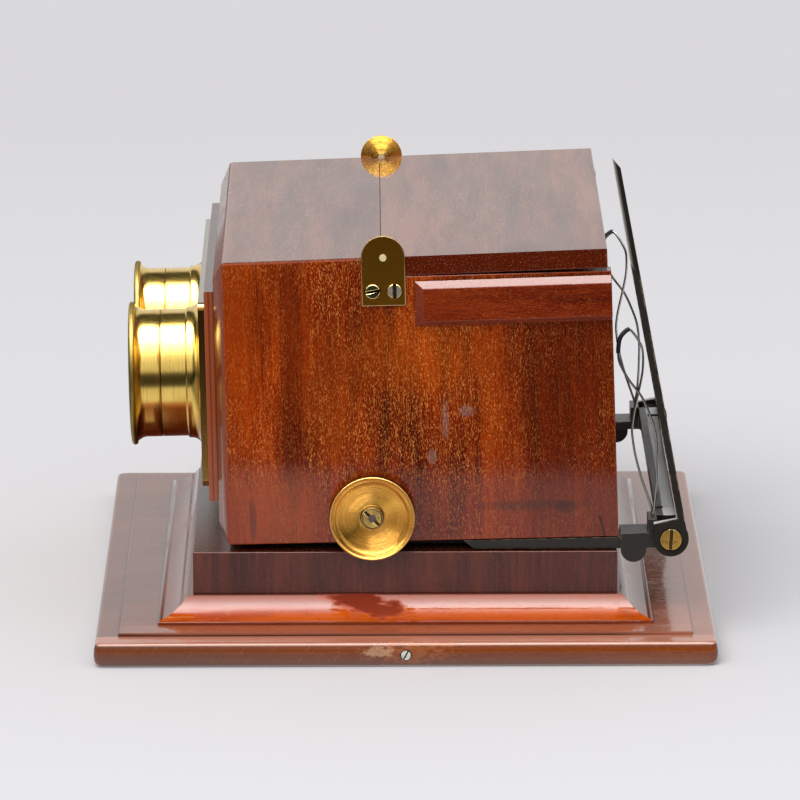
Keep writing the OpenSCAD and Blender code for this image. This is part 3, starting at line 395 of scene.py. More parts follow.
class Steel(Finish):
    """Bright steel, a little dulled, with dirt in what lies below a distance from the middle plane."""

    def __init__(self, name, colour, rough, dirt_below=0, metal=1.0):
        super().__init__(name, Metallic=metal)
        spot = self.place()
        haze = self.noise(spot, 0.9, 4.0, 0.65)
        dimmed = rgb(*(part * 0.62 for part in colour))
        self.colour = self.mix(haze.over(0.05, 0.3) * 0.5, rgb(*colour), dimmed)
        if dirt_below:
            self.stain(abs(self.parts(spot)[1]).under(dirt_below, 0.1), (52, 46, 38))
        self.feed("Base Color", self.colour)
        self.feed("Roughness", rough + haze * 0.2)
        self.relief(0.5 + self.noise(spot, 2.5), 0.02)


edge_steel = Steel("edge steel", (216, 216, 206), 0.55, metal=0.25)
eased("edge_screw_head", "edge_screw", ON_THE_TABLE, edge_steel, "base", 0.12, steps=2)

# Cove
#
# Four lengths of hollow moulding mitred round the foot of the plinth, glued down on the
# field. Each length has its grain along it, and the hollow takes a long soft highlight. The
# near length is painted bright orange, browner towards its top, and the returns dark brown:
# lit and shaded copies of one wood. Painted shade darkens the foot and top of the hollow,
# and a painted reflection of the knob lies dark and dull in the near length.

plinth_x, plinth_y, plinth_z0 = 75.0, 99.5, 17.9
cove_wide, cove_high, cove_lip, cove_flat, cove_toe = 12.2, 8.1, 0.7, 1.9, 11.1
field_z = base_thick + field_rise

profile = [(0, 0), (cove_wide, 0), (cove_wide, cove_lip), (cove_toe, cove_lip * 2)]
steep, shallow = radians(33), radians(75)
sweep = (cove_toe - cove_flat) / (cos(steep) - cos(shallow))
rise = (cove_high - cove_lip * 2) / (sin(shallow) - sin(steep))
for part in range(1, 25):
    lean = shallow - (shallow - steep) * part / 25
    out, up = sweep * (cos(steep) - cos(lean)), rise * (sin(shallow) - sin(lean))
    profile.append((cove_flat + out, cove_lip * 2 + up))
profile += [(cove_flat, cove_high), (0, cove_high)]

bm = bmesh.new()
ring = [bm.verts.new((-plinth_x - out, -plinth_y - out, field_z + up)) for out, up in profile]
run = first = [bm.edges.new((ring[i], ring[(i + 1) % len(ring)])) for i in range(len(ring))]
for mirror in ((-1, 1, 1), (1, -1, 1), (-1, 1, 1)):
    grown = bmesh.ops.extrude_edge_only(bm, edges=run)["geom"]
    corner = [part for part in grown if isinstance(part, bmesh.types.BMVert)]
    bmesh.ops.scale(bm, vec=mirror, verts=corner)
    run = [part for part in grown
           if isinstance(part, bmesh.types.BMEdge) and all(vert in corner for vert in part.verts)]
bmesh.ops.bridge_loops(bm, edges=first + run)
for face in bm.faces:
    middle = face.calc_center_median()
    face.material_index = int(abs(middle.x) - plinth_x > abs(middle.y) - plinth_y)

cove_woods = []
# painted light: the near length and the returns are one wood, the near one painted bright orange and the
# returns dark brown, as lit and shaded copies
for name, grain, shift, polish, tones in (
        ("cove mahogany", 0, (11, 3, 0), 1.5, ((166, 50, 2), (208, 82, 4), (222, 104, 16))),
        ("cove mahogany return", 1, (2, 17, 0), 1.3, ((70, 30, 18), (104, 52, 34), (130, 70, 46)))):
    wood = Mahogany(name, grain=grain, shift=shift, tones=tones, fleck=(216, 128, 56), flecks=0.12,
                    contrast=0.5, gloss=0.04, ends=(110, 44, 18), polish=polish)
    up, along_near = wood.z - field_z, int(grain == 0)
    cloud = wood.noise(wood.spot, along(grain, 0.035, 0.12), 3.0, 0.6)
    blotch = wood.noise(wood.spot, (0.16, 0.16, 0.5), 4.0, 0.6)
    # painted reflection: a dark, dull patch in the near length where the knob is mirrored in the polish
    dulled = ellipse(wood.x + (up - 5.0) * 1.7, up, (-13, 5.4), (11, 4.4), 1.0) + blotch * 1.9
    dulled = dulled.over(0.45, 0.6) * along_near
    wood.stain(
        # painted light: the near length is painted browner towards its top
        up.over(4.2, 2.4) * 0.75 * along_near, (140, 62, 26),
        # painted shade: the foot and the top of the hollow are painted darker, where it meets the field and
        # the plinth
        up.under(1.0, 0.4).most(up.over(cove_high - 0.25, 0.3)) * 0.75, (84, 30, 12),
        cloud.over(0.06, 0.12) * 0.35, (132, 30, 6),
        dulled * 0.9, (112, 28, 2))
    wood.dull = wood.dull + cloud.over(0.1, 0.1) * 0.12 + dulled * 0.85
    cove_woods.append(wood.done(depth=0.05))
piece("cove_lengths", bm, ON_THE_TABLE, cove_woods, "base", "cove_moulding", turn=24, flats=False)

# Plinth
#
# The block that carries the box, of darker mahogany with a satin surface, and the two rest
# strips on it that hold the rear of the box level.


def dress(finish, *nodes):
    """Give solids whose shape is right their finish."""
    for node in nodes:
        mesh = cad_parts[node].data
        if not mesh.materials:
            mesh.materials.append(None)
        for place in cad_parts[node].material_slots:
            place.material = finish.material


plinth_wood = Mahogany("plinth mahogany", shift=(5, 9, 0), tones=((50, 17, 12), (80, 32, 22), (104, 48, 32)),
                       fleck=(132, 70, 44), flecks=0.25, contrast=0.9, gloss=0.24)
# painted shade: a dark line at the plinth's foot, where the cove meets it
plinth_wood.stain(plinth_wood.z.under(plinth_z0 + 0.4, 0.9) * 0.6, (26, 11, 8))
plinth_wood.done(rub=0.3, depth=0.05)
eased("plinth_block", "plinth", ON_THE_TABLE, plinth_wood, "base", 0.4, where=lambda a, b: (
    max(abs(a.x), abs(b.x)) > plinth_x - 1 and (abs(a.y - b.y) < 1 or abs(a.z - b.z) < 1)))
dress(plinth_wood, "rest_strips")

# Sides of the box
#
# Two mahogany boards with upright grain, full of golden flecks, mitred to the front and to
# the fixed top and deeply polished. The near one shows small knocks in its polish, a fine
# crack and one dark wandering streak. Low on it a painted reflection of dark shapes lies in
# the polish, and high up a broad painted pool of light.

# the way each side lies, what its pieces are called and what its solids are called
SIDES = ((-1, "near", "right"), (1, "far", "left"))
box_tilt, top_rise = radians(1.15), radians(0.82)
box_x, box_z = -62.101, 35.05
IN_THE_BOX = Matrix.Translation((box_x, 0, box_z)) @ Matrix.Rotation(-box_tilt, 4, "Y")
box_half, box_high, board_thick, top_split = 97.0, 101.5, 8.0, 55.9
bevel_wide, bevel_deep = 7.0, 3.5


def relieve(bm, point, outward):
    """Plane one corner off a board, and close it."""
    rubbed = bm.faces.layers.float.get("worn") or bm.faces.layers.float.new("worn")
    cut = bmesh.ops.bisect_plane(bm, geom=bm.verts[:] + bm.edges[:] + bm.faces[:], dist=1e-4, plane_co=point,
                                 plane_no=Vector(outward).normalized(), clear_outer=True)["geom_cut"]
    rim = [part for part in cut if isinstance(part, bmesh.types.BMEdge) and part.is_boundary]
    for face in bmesh.ops.holes_fill(bm, edges=rim, sides=0)["faces"]:
        face[rubbed] = 1.0


def corner_lines(side):
    """Where the front and top edges of a side are planed off, and which way."""
    up = Vector((-sin(top_rise), 0, cos(top_rise)))
    out = Vector((0, side, 0))
    slope = Vector((-bevel_wide, side * bevel_deep, 0)).normalized()
    brow = Vector((-bevel_wide, 0, bevel_deep)).normalized()
    top = Vector((0, side * box_half, box_high))
    for share in (0.3, 0.7):
        for way, deep in ((out * share + up * (1 - share), 0.34), (out * share + slope * (1 - share), 0.26),
                          (up * share + brow * (1 - share), 0.26)):
            yield top - way.normalized() * deep, way


def relieve_corners(bm, sides, chosen):
    """Plane off the chosen ones of the six corner lines of each side."""
    for side in sides:
        for number, (at, way) in enumerate(corner_lines(side)):
            if number in chosen:
                relieve(bm, at, way)


def on_box(x, z):
    """Length and height on the box for a place on the near side."""
    x, z = x - box_x, z - box_z
    return x * cos(box_tilt) + z * sin(box_tilt), z * cos(box_tilt) - x * sin(box_tilt)


def patch_at(x, z, wide, tall, soft=0.9):
    return ellipse(u, v, on_box(x, z), (wide, tall), soft)


near_wood = Mahogany("near side mahogany", IN_THE_BOX, shift=(6, 3, 2), gloss=0.04)
u, v = near_wood.x, near_wood.z
wander = near_wood.noise(near_wood.spot, (0.02, 0.02, 0.045), 2.0) * 9.0
streak = (u + wander - v * 0.015).within(22.5, 4.2, 4.5) * v.over(22, 26) * (1 - v.over(96, 14) * 0.5)
# painted reflection: dark spots low on the side, standing for dark shapes mirrored in the polish
reflected_dark_spots = patch_at(-53.7, 44, 1.3, 7, 0.6).most(patch_at(56.5, 48.4, 3.4, 2.4, 0.6))
crack_u, crack_v = on_box(69.9, 41)
crack = (u - crack_u + (v - crack_v) * 0.242).within(0, 0.34, 0.3) * v.within(crack_v, 4.6, 1.0)
# painted reflection: a dark band low on the side, standing for a dark shape mirrored in the polish
reflected_dark_band = ellipse(u, v + wander * 0.1, on_box(44, 49.2), (17, 1.7))
frayed = u + near_wood.noise(near_wood.spot, 0.8, 3.0, 0.7) * 2.6
knocks = [ellipse(frayed, v, on_box(x, z), reach, 0.5) for x, z, reach in (
    (14.2, 80.0, (1.2, 6.5)), (21.9, 83.3, (2.6, 2.0)), (9.6, 66.7, (1.6, 2.6)))]
knocks = knocks[0].most(knocks[1]).most(knocks[2])
near_wood.stain(
    streak * 0.55, (78, 20, 2),
    # painted light: a broad pool of brighter orange high up the side
    patch_at(6, 103, 22, 12) * 0.22, (200, 92, 12),
    patch_at(-46, 47, 18, 13) * 0.32, (180, 86, 34),
    v.under(24, 18) * near_wood.dash.over(0.1, 0.15) * 0.55, (116, 42, 16),
    patch_at(55, 78, 12, 42) * 0.3, (96, 26, 4),
    patch_at(-26, 88, 9, 22) * 0.35, (160, 66, 8),
    u.over(96, 40) * 0.45, (84, 24, 5),
    patch_at(-52, 122, 16, 18) * 0.3, (96, 26, 1),
    u.under(9, 12) * 0.25, (110, 34, 4),
    reflected_dark_band * 0.5, (46, 26, 22),
    knocks * 0.34, (142, 108, 96),
    reflected_dark_spots * 0.5, (60, 40, 40),
    crack * 0.85, (30, 10, 4))
near_wood.dull = near_wood.dull + knocks * 0.3 + reflected_dark_spots * 0.2
near_wood.height = near_wood.height - crack * 0.5 - knocks * 0.1
near_wood.done(rub=0.5)
far_wood = Mahogany("far side mahogany", IN_THE_BOX, shift=(220, 40, 60)).done(rub=0.5)

for (side, end, hand), wood in zip(SIDES, (near_wood, far_wood)):
    bm = whole(hand + "_side", IN_THE_BOX)
    ease(bm, 0.4, where=lambda a, b: (
        min(abs(a.y), abs(b.y)) > box_half - 0.05 and abs((a - b).y) < 0.05
        and not (min(a.z, b.z) > box_high - 0.5 and max(a.x, b.x) < top_split + 1 and abs(a.x - b.x) > 5)
        and not max(a.x, b.x) < 0.5))
    relieve_corners(bm, [side], (0, 1, 2, 3))
    piece(end + "_side_board", bm, IN_THE_BOX, [wood], "box", hand + "_side")

# Front of the box
#
# A front board with a bevel all round, and on it a thinner raised panel that carries the
# brass plate. Both are bored for the eyepieces.

front_wood = Mahogany("front mahogany", IN_THE_BOX, shift=(31, 12, 44), flecks=0.15, contrast=0.7,
                      gloss=0.12, tones=((84, 26, 10), (122, 46, 20), (150, 68, 32)))
proud = 0 - front_wood.x - bevel_deep
front_wood.stain(proud.over(0.4, 0.2) * 0.55, (180, 96, 60),
                 proud.within(1.9, 0.25, 0.3).most(proud.within(0.0, 0.3, 0.2)) * 0.6, (58, 22, 12))
front_wood.done(rub=0.5)
bm = whole("front_board", IN_THE_BOX)
ease(bm, 0.3, where=lambda a, b: max(a.x, b.x) < -bevel_deep + 0.1 and (a - b).length > 60)
relieve_corners(bm, (-1, 1), (1, 2, 4, 5))
piece("front_bevelled_board", bm, IN_THE_BOX, [front_wood], "box", "front_board")
eased("front_raised_panel", "front_panel", IN_THE_BOX, front_wood, "box", 0.35,
      where=lambda a, b: (a - b).length > 60 and max(a.x, b.x) < -bevel_deep - 1)

# Fixed top
#
# The front part of the top, glued into the mitres of the sides, its grain running across
# the box. Light has faded it and the polish has a fine bloom.

faded = {"grain": 1, "flecks": 0.12, "contrast": 1.25, "gloss": 0.05, "polish": 1.36}
top_wood = Mahogany("top mahogany", IN_THE_BOX, shift=(3, 60, 10), fleck=(160, 108, 84), ends=(64, 22, 9),
                    tones=((84, 40, 30), (116, 64, 48), (142, 86, 64)), **faded)
bloom = top_wood.noise(top_wood.spot, (0.05, 0.012, 0.05), 3.0).over(0.02, 0.2)
dust = top_wood.noise(top_wood.spot, 0.9, 3.0, 0.6).over(0.12, 0.06)
top_wood.stain(bloom * 0.3, (150, 108, 96), dust * (bloom * 0.5 + 0.2), (184, 152, 142))
top_wood.dull = top_wood.dull + bloom * 0.03
top_wood.done(rub=0.25, depth=0.03)
bm = whole("top_board", IN_THE_BOX)
relieve_corners(bm, (-1, 1), (0, 2, 3, 5))
ease(bm, 0.25, where=lambda a, b: (
    min(a.x, b.x) > top_split - 0.4 and min(a.z, b.z) > box_high and abs((a - b).y) > 60))
piece("top_fixed_board", bm, IN_THE_BOX, [top_wood], "box", "top_board")

# Battens
#
# A bevelled batten on each side under the lid, its grain along it; its upward faces are
# painted lighter, a painted highlight for the light from above.

batten_wood = Mahogany("batten mahogany", IN_THE_BOX, grain=0, shift=(70, 5, 8),
                       tones=((66, 14, 3), (102, 27, 5), (132, 46, 10)), fleck=(196, 110, 50), flecks=0.35,
                       contrast=0.8, gloss=0.08, ends=(84, 30, 14))
# painted highlight: faces turned upward are painted pale pink
batten_wood.stain(batten_wood.parts(batten_wood.facing())[2].over(0.4, 0.1) * 0.45, (200, 132, 112))
batten_wood.done(rub=0.5)
for side, end, hand in SIDES:
    bm = whole(hand + "_batten", IN_THE_BOX)
    high = max(vert.co.z for vert in bm.verts)
    for vert in bm.verts:
        if vert.co.z > high - 4.5:
            vert.co += Vector((0, 0, -0.35) if abs(vert.co.y) > box_half + 1 else (0, side * 0.95, 0))
    ease(bm, 0.28, where=lambda a, b: max(abs(a.y), abs(b.y)) > box_half + 0.3)
    piece(end + "_side_batten", bm, IN_THE_BOX, [batten_wood], "box", hand + "_batten")

# Inside of the box
#
# The floor and the partition between the two views, left with a plain satin surface.

inner_wood = Mahogany("inner mahogany", IN_THE_BOX, grain=0, shift=(9, 90, 30), flecks=0.3, gloss=0.38,
                      tones=((44, 20, 14), (70, 34, 22), (92, 50, 32)), fleck=(120, 76, 50))
dress(inner_wood.done(), "floor_board", "septum")

# Hinged lid
#
# The rear part of the top, a separate mahogany board with its grain across the box, so its
# near edge is dark end grain. A silvered mirror is clipped to its underside with brass.

lid_tilt = radians(0.95)
pin_u, pin_v = 56.6, box_high + top_split * tan(top_rise) + 0.1
ON_THE_LID = IN_THE_BOX @ Matrix.Translation((pin_u, 0, pin_v)) @ Matrix.Rotation(-lid_tilt, 4, "Y")
lid_wood = Mahogany("lid mahogany", ON_THE_LID, shift=(90, 20, 5), fleck=(166, 112, 86), ends=(70, 22, 5),
                    tones=((86, 42, 32), (120, 68, 50), (148, 90, 66)), **faded)
bloom = lid_wood.noise(lid_wood.spot, (0.045, 0.014, 0.05), 3.0).over(0.02, 0.2)
dust = lid_wood.noise(lid_wood.spot, 0.9, 3.0, 0.6).over(0.12, 0.08)
dust = dust * ellipse(lid_wood.x, lid_wood.y, (38, -8), (30, 60))
lid_wood.stain(bloom * 0.3, (152, 110, 98), dust * 0.45, (186, 154, 144))
lid_wood.dull = lid_wood.dull + bloom * 0.03
lid_wood.done(rub=0.3, depth=0.03)
eased("lid_board_polished", "lid_board", ON_THE_LID, lid_wood, "lid", 0.4, where=lambda a, b: (
    min(a.z, b.z) > 6.5 or min(a.x, b.x) > 60 or (max(a.z, b.z) < -6.8 and (a - b).length > 20)))

silvering = Finish("silvered glass", Metallic=1.0)
foxing = silvering.noise(silvering.place(ON_THE_LID), 0.05, 5.0, 0.7).over(0.16, 0.12)
silvering.feed("Base Color", silvering.mix(foxing * 0.7, rgb(226, 228, 228), rgb(120, 112, 98)))
silvering.feed("Roughness", 0.02 + foxing * 0.35)
dress(silvering, "lid_mirror")

# Pivot plates
#
# Arched brass plates, filed from sheet and lacquered, each held by two slotted screws; the
# lid turns on a brass pin in each. Their edges are rubbed bright.


class Brass(Finish):
    """Lacquered brass: golden metal, browner where the lacquer has thickened, with tool marks."""

    bright = (246, 224, 160)

    def __init__(self, name, board, colour, aged=(168, 118, 52), rough=0.2, marks=(0.4, 0.4, 6.0),
                 mark_depth=0.01, metal=1.0):
        super().__init__(name, Metallic=metal)
        self.spot = self.place(board)
        self.x, self.y, self.z = self.parts(self.spot)
        cloud = self.noise(self.spot, 0.12, 4.0, 0.6)
        speck = self.noise(self.spot, 0.8, 3.0, 0.6).over(0.21, 0.05)
        self.colour = self.mix(cloud.over(0.04, 0.3) * 0.6, rgb(*colour), rgb(*aged))
        self.stain(speck * 0.7, [part * 0.45 for part in aged])
        self.rough = rough + cloud * 0.12 + speck * 0.2
        self.height = 0.5 + self.noise(self.spot, marks, 2.0)
        self.mark_depth, self.tipped = mark_depth, None

    def turned_about(self, x, z, tip, slant=0):
        """Fine tool rings about an axis along the width, tipping the surface roughly along the radius."""
        radius = (x ** 2 + z ** 2) ** 0.5
        slant = radians(slant)
        x, z = x * cos(slant) + z * sin(slant), z * cos(slant) - x * sin(slant)
        rings = self.node("TexNoise", {"noise_dimensions": "1D"}, {
            "W": radius * 21.0, "Scale": 1.0, "Detail": 1.0}) - 0.5
        way = self.add(self.facing(), self.join(x=x / radius * rings * tip, z=z / radius * rings * tip))
        self.tipped = self.node("VectorTransform", {"vector_type": "NORMAL", "convert_from": "OBJECT",
                                                    "convert_to": "WORLD"}, {"Vector": way})
        return radius

    def done(self, rub=0.8):
        edge = self.worn()
        self.feed("Base Color", self.mix(edge * rub, self.colour, rgb(*self.bright)))
        self.feed("Roughness", self.rough + edge * 0.05)
        if self.tipped:
            self.feed("Normal", self.tipped)
        else:
            self.relief(self.height, self.mark_depth)
        return self


screw_u, screw_apart, screw_v = 56.55, 3.85, 90.4
sheet_brass = Brass("sheet brass", IN_THE_BOX, (206, 142, 44), (166, 106, 28), rough=0.32,
                    marks=(0.3, 0.3, 3.0))
sink_r = ((abs(sheet_brass.x - screw_u) - screw_apart) ** 2 + (sheet_brass.z - screw_v) ** 2) ** 0.5
sheet_brass.height = sheet_brass.height - sink_r.within(2.6, 0.1, 0.5) * 28.0
sheet_brass.done()
brushed = Brass("ring brushed brass", IN_THE_BOX, (240, 196, 96), (214, 160, 66), rough=0.24)
brushed.turned_about(brushed.x - pin_u, brushed.z - pin_v, 5.0)
brushed.done()
for (side, end, hand), finish in zip(SIDES, (sheet_brass, brushed)):
    eased(end + "_pivot_plate", hand + "_pivot_plate", IN_THE_BOX, finish, "box", 0.25, steps=2,
          turn=50, where=lambda a, b: min(abs(a.y), abs(b.y)) > box_half + 1)


def from_screw(place):
    """How far a place lies from the middle of the nearer plate screw."""
    return Vector((abs(place.x - screw_u) - screw_apart, place.z - screw_v)).length


bm = whole("plate_screws", IN_THE_BOX)
ease(bm, 0.38, edges=[edge for edge in bm.edges if all(
    from_screw(vert.co) > 2.55 and abs(vert.co.y) > box_half + 1.75 for vert in edge.verts)])
# painted light: the two screws of each plate are one steel, painted pale behind the pin and dark before it as
# lit and shaded copies
screw_steels = [Steel(name, colour, rough, dirt_below=box_half + 1.62) for name, colour, rough in (
    ("pale steel", (206, 190, 180), 0.5), ("dark steel", (124, 128, 110), 0.3))]
bright_brass = Brass("rubbed brass", IN_THE_BOX, (246, 218, 150), rough=0.3).done()
rim = bm.faces.layers.float["worn"]
for face in bm.faces:
    face.material_index = 2 if face[rim] > 0.5 else int(face.calc_center_median().x < pin_u)
piece("plate_screw_heads", bm, IN_THE_BOX, [*screw_steels, bright_brass], "box", "plate_screws")
pin_brass = Brass("pin brass", IN_THE_BOX, (252, 234, 186), (240, 214, 150), rough=0.4, metal=0.4).done()
eased("lid_pin_ends", "lid_pins", IN_THE_BOX, pin_brass, "box", 0.7, steps=5,
      where=lambda a, b: min(abs(a.y), abs(b.y)) > box_half)
dress(brushed, "lid_ears")
dress(sheet_brass, "mirror_clips", "arm_guides", "hinge_leaf_upper", "hinge_leaf_lower", "shaft_bushes")
dress(Steel("shaft steel", (128, 112, 100), 0.4), "hinge_pin", "focus_shaft")

# Eyepieces
#
# A brass plate screwed over the panel carries two turned tubes. Each has a flared foot, a
# plain barrel and a push-fit cup whose flared lip ends in a bead with a fine milled edge.

plate_out, foot_out, joint_out, lip_out = 9.3, 10.0, 23.8, 35.1
eye_y, eye_v = 37.5, 50.2
barrel_r, bore_r, spigot_r, flare_r, lip_r = 22.9, 20.7, 21.8, 27.0, 25.65
cup_wall, bead, seat_out = 11.3, 2.4, 13.4
plate_top, plate_end = 83.2, 79.3


def turned(profile, steps, closed=True):
    """Turn a profile of (radius, height) pairs about an upright axis."""
    bm = bmesh.new()
    row = [bm.verts.new((radius, 0, height)) for radius, height in profile]
    line = [bm.edges.new(pair) for pair in zip(row, row[1:] + row[:1] if closed else row[1:])]
    bmesh.ops.spin(bm, geom=row + line, cent=(0, 0, 0), axis=(0, 0, 1), angle=2 * pi, steps=steps,
                   use_merge=True, use_duplicate=False)
    bmesh.ops.remove_doubles(bm, verts=bm.verts, dist=1e-4)
    return bm


def arc(middle, radius, start, end, steps):
    """Points of a round moulding, angles in degrees from the radial direction."""
    turns = [radians(start + (end - start) * i / steps) for i in range(steps + 1)]
    return [(middle[0] + radius * cos(turn), middle[1] + radius * sin(turn)) for turn in turns]


def eye_axis(side):
    return IN_THE_BOX @ Matrix.Translation((0, side * eye_y, eye_v)) @ Matrix.Rotation(-pi / 2, 4, "Y")


def about(vert, steps):
    """How many steps of a full turn a point has gone round the axis."""
    return degrees(Vector((1, 0)).angle_signed(Vector(vert.co.xy))) / 360 * steps


tube_brass = Brass("turned brass", IN_THE_BOX, (246, 210, 114), (226, 184, 90), rough=0.19,
                   marks=(5.0, 0.15, 0.15), mark_depth=0.006)
tube_brass.stain(
    tube_brass.noise(tube_brass.spot, (1.6, 0.05, 0.05), 2.0).over(0.1, 0.2) * 0.3, (190, 140, 60),
    # painted shade: the lower part of each tube is painted darker brown, for the dimmer surroundings it
    # mirrors
    (eye_v - tube_brass.z).over(14.5, 9.0) * 0.85, (138, 74, 30),
    (0 - tube_brass.x).within(joint_out, 0.12, 0.12) * 0.8, (70, 44, 20))
tube_brass.done()
bead_brass = Brass("milled bead brass", IN_THE_BOX, (172, 150, 84), (128, 106, 54), rough=0.42).done()
plate_brass = Brass("plate brass", IN_THE_BOX, (222, 182, 98), (176, 130, 62), marks=(0.2, 0.2, 4.0))
plate_brass.stain(plate_brass.z.over(plate_top, 0.2), (160, 156, 142),
                  (0 - plate_brass.y).over(plate_end, 0.3) * 0.7, (110, 64, 34))
plate_brass.done(rub=0.5)
eased("eyepiece_brass_plate", "eyepiece_plate", IN_THE_BOX, plate_brass, "box", 0.4, turn=40,
      sharp=20, where=lambda a, b: (max(a.x, b.x) < -plate_out - 2
                                    and not (max(abs(a.y), abs(b.y)) < 60 and (a - b).length < 8)))

collar_r = barrel_r + 0.7
barrel = [(bore_r - 1.2, -board_thick), (spigot_r, -board_thick), (spigot_r, plate_out),
          (flare_r - 0.2, plate_out), (flare_r, plate_out + 0.2), (flare_r, foot_out - 0.15),
          (flare_r - 0.2, foot_out)]
barrel += [(collar_r + (flare_r - barrel_r - 1.3) * (1 - sin(turn)), foot_out + 3.6 * (1 - cos(turn)))
           for turn in (radians(degree) for degree in range(10, 91, 5))]
barrel += [(collar_r, plate_out + 4.9), (barrel_r + 0.5, plate_out + 5.2), (barrel_r + 0.1, plate_out + 5.3),
           (barrel_r, plate_out + 5.5), (barrel_r, plate_out + 10), (barrel_r, joint_out - 0.3),
           (barrel_r - 0.15, joint_out - 0.15), (spigot_r, joint_out - 0.15), (spigot_r, joint_out + 5.6),
           (bore_r, joint_out + 5.6), (bore_r, seat_out), (bore_r - 1.2, seat_out)]
neck = joint_out + cup_wall / 2
cup = [(spigot_r, joint_out), (barrel_r - 0.12, joint_out), (barrel_r, joint_out + 0.15),
       (barrel_r, neck - 2.5)]
cup += [(barrel_r + (lip_r - 1.3 - barrel_r) * (i / 12) ** 2, neck + (lip_out - bead - neck) * i / 12)
        for i in range(13)]
cup += arc((lip_r - bead * 0.42, lip_out - bead / 2), bead * 0.45, -80, 80, 10)
cup += [(lip_r - 1.7, lip_out), (lip_r - 2.6, lip_out - 0.1), (bore_r + 2.4, lip_out - 0.7),
        (bore_r + 1.3, lip_out - bead), (bore_r + 0.4, neck + 3), (bore_r, neck + 0.7),
        (spigot_r, neck + 0.6)]

mill_steps, mill_deep = 320, 0.28
for side, end, hand in SIDES:
    piece(end + "_eye_barrel", turned(barrel, 160), eye_axis(side), [tube_brass], "box",
          hand + "_mount", turn=24, flats=False)
    bm = turned(cup, mill_steps)
    for vert in bm.verts:
        reach = Vector(vert.co.xy).length
        if reach > lip_r - 1.25 and vert.co.z > lip_out - bead * 0.93:
            groove = round(about(vert, mill_steps) + (vert.co.z - lip_out) * 1.2) % 2
            vert.co.xy *= 1 - mill_deep / reach * groove
    for face in bm.faces:
        middle = face.calc_center_median()
        face.material_index = int(middle.z > lip_out - bead * 0.95 and Vector(middle.xy).length > lip_r - 2.4)
    piece(end + "_eye_cup", bm, eye_axis(side), [tube_brass, bead_brass], "box", hand + "_eye_cup",
          turn=70, flats=False)

# Lenses
#
# A lens of crown glass in each tube, resting on a seat in the barrel under a black ring.

lens_out, lens_edge, lens_bulge, lens_r = 13.36, 2.0, 1.8, 20.6
ball = (lens_r ** 2 + lens_bulge ** 2) / (2 * lens_bulge)
dome = [(lens_r * i / 14, sqrt(ball ** 2 - (lens_r * i / 14) ** 2) - ball + lens_bulge) for i in range(15)]
lens = [(radius, lens_out + lens_bulge - rise) for radius, rise in dome]
lens += [(radius, lens_out + lens_bulge + lens_edge + rise) for radius, rise in reversed(dome)]
glass = Finish("crown glass", Transmission_Weight=1.0, IOR=1.52, Base_Color=(0.96, 0.98, 0.97, 1))
glass.feed("Roughness", 0.01 + glass.noise(glass.place(IN_THE_BOX), 0.2, 3.0).over(0.16, 0.2) * 0.08)
for side, end, hand in SIDES:
    piece(end + "_crown_lens", turned(lens, 96, closed=False), eye_axis(side), [glass], "box",
          hand + "_lens", turn=40, flats=False)


class Lacquer(Finish):
    """Black lacquer on brass, rubbed through to pale metal along the edges, dusty where it faces up."""

    def __init__(self, name, board, black=(32, 29, 28), rub=0.5, rough=0.36, shine=0.4, settled=0.0,
                 beyond=0.0):
        super().__init__(name, IOR=1.5, Specular_IOR_Level=shine)
        spot = self.place(board)
        chips = self.noise(spot, 0.35, 4.0, 0.65)
        rubbed = self.worn() * chips.over(0.02, 0.12) * rub
        knock = self.noise(spot, 0.22, 5.0, 0.75).over(0.26, 0.03) * 0.7
        above = self.parts(self.facing())[2].over(0.6, 0.2) * settled
        if beyond:
            above = above * (self.parts(spot)[0] + self.noise(spot, (0.3, 0.03, 0.3), 3.0)).over(beyond, 0.5)
        bare = rubbed.most(knock).most(above)
        coat = self.mix(chips.over(0.0, 0.4) * 0.5, rgb(*black), rgb(48, 43, 40))
        under = self.mix(above, rgb(152, 134, 108), rgb(222, 223, 224))
        self.feed("Base Color", self.mix(bare, coat, under))
        self.feed("Metallic", bare * 0.8 - above * 0.6)
        self.feed("Roughness", rough + chips * 0.25)
        self.relief(0.5 + self.noise(spot, 0.7, 3.0) - bare * 0.3, 0.02)


dress(Lacquer("lens ring black", IN_THE_BOX, rub=0.2), "lens_rings")

# Focusing knobs
#
# Turned brass: a dished face with a rolled lip and a milled edge, held to the shaft by a
# slotted nut in a recess at the middle.

shaft_u, shaft_v = 50.7, 9.95
knob_y, knob_r, rim_in, rim_out = 98.2, 15.1, 100.2, 104.4
dish, nut_r, lip_in, dish_r = 2.604, 3.8, 13.0, 11.1
knob = [(1.4, knob_y), (4.2, knob_y), (4.4, knob_y + 0.2), (4.4, rim_in + 0.6), (knob_r - 2, rim_in),
        (knob_r - 0.5, rim_in), (knob_r, rim_in + 0.45)]
knob += [(knob_r, rim_in + 0.45 + i * 0.44) for i in range(1, 8)]
knob += arc((knob_r - 0.4, rim_out - 0.4), 0.4, 0, 160, 7)
knob += [(14.2, rim_out - 0.42), (13.6, rim_out - 0.5), (lip_in, rim_out - 0.62)]
knob += [(lip_in - (lip_in - dish_r) * q, rim_out - 0.62 - 0.95 * sin(q * pi / 2) ** 0.9)
         for q in (0.12, 0.26, 0.42, 0.6, 0.8, 1.0)]
knob += [(dish_r - (dish_r - nut_r - 0.8) * i / 10, rim_out - 1.57 - (dish - 1.62) * (i / 10) ** 0.85)
         for i in range(1, 11)]
knob += [(nut_r + 0.5, rim_out - dish + 0.1), (nut_r + 0.2, rim_out - dish + 0.45),
         (1.4, rim_out - dish + 0.5)]

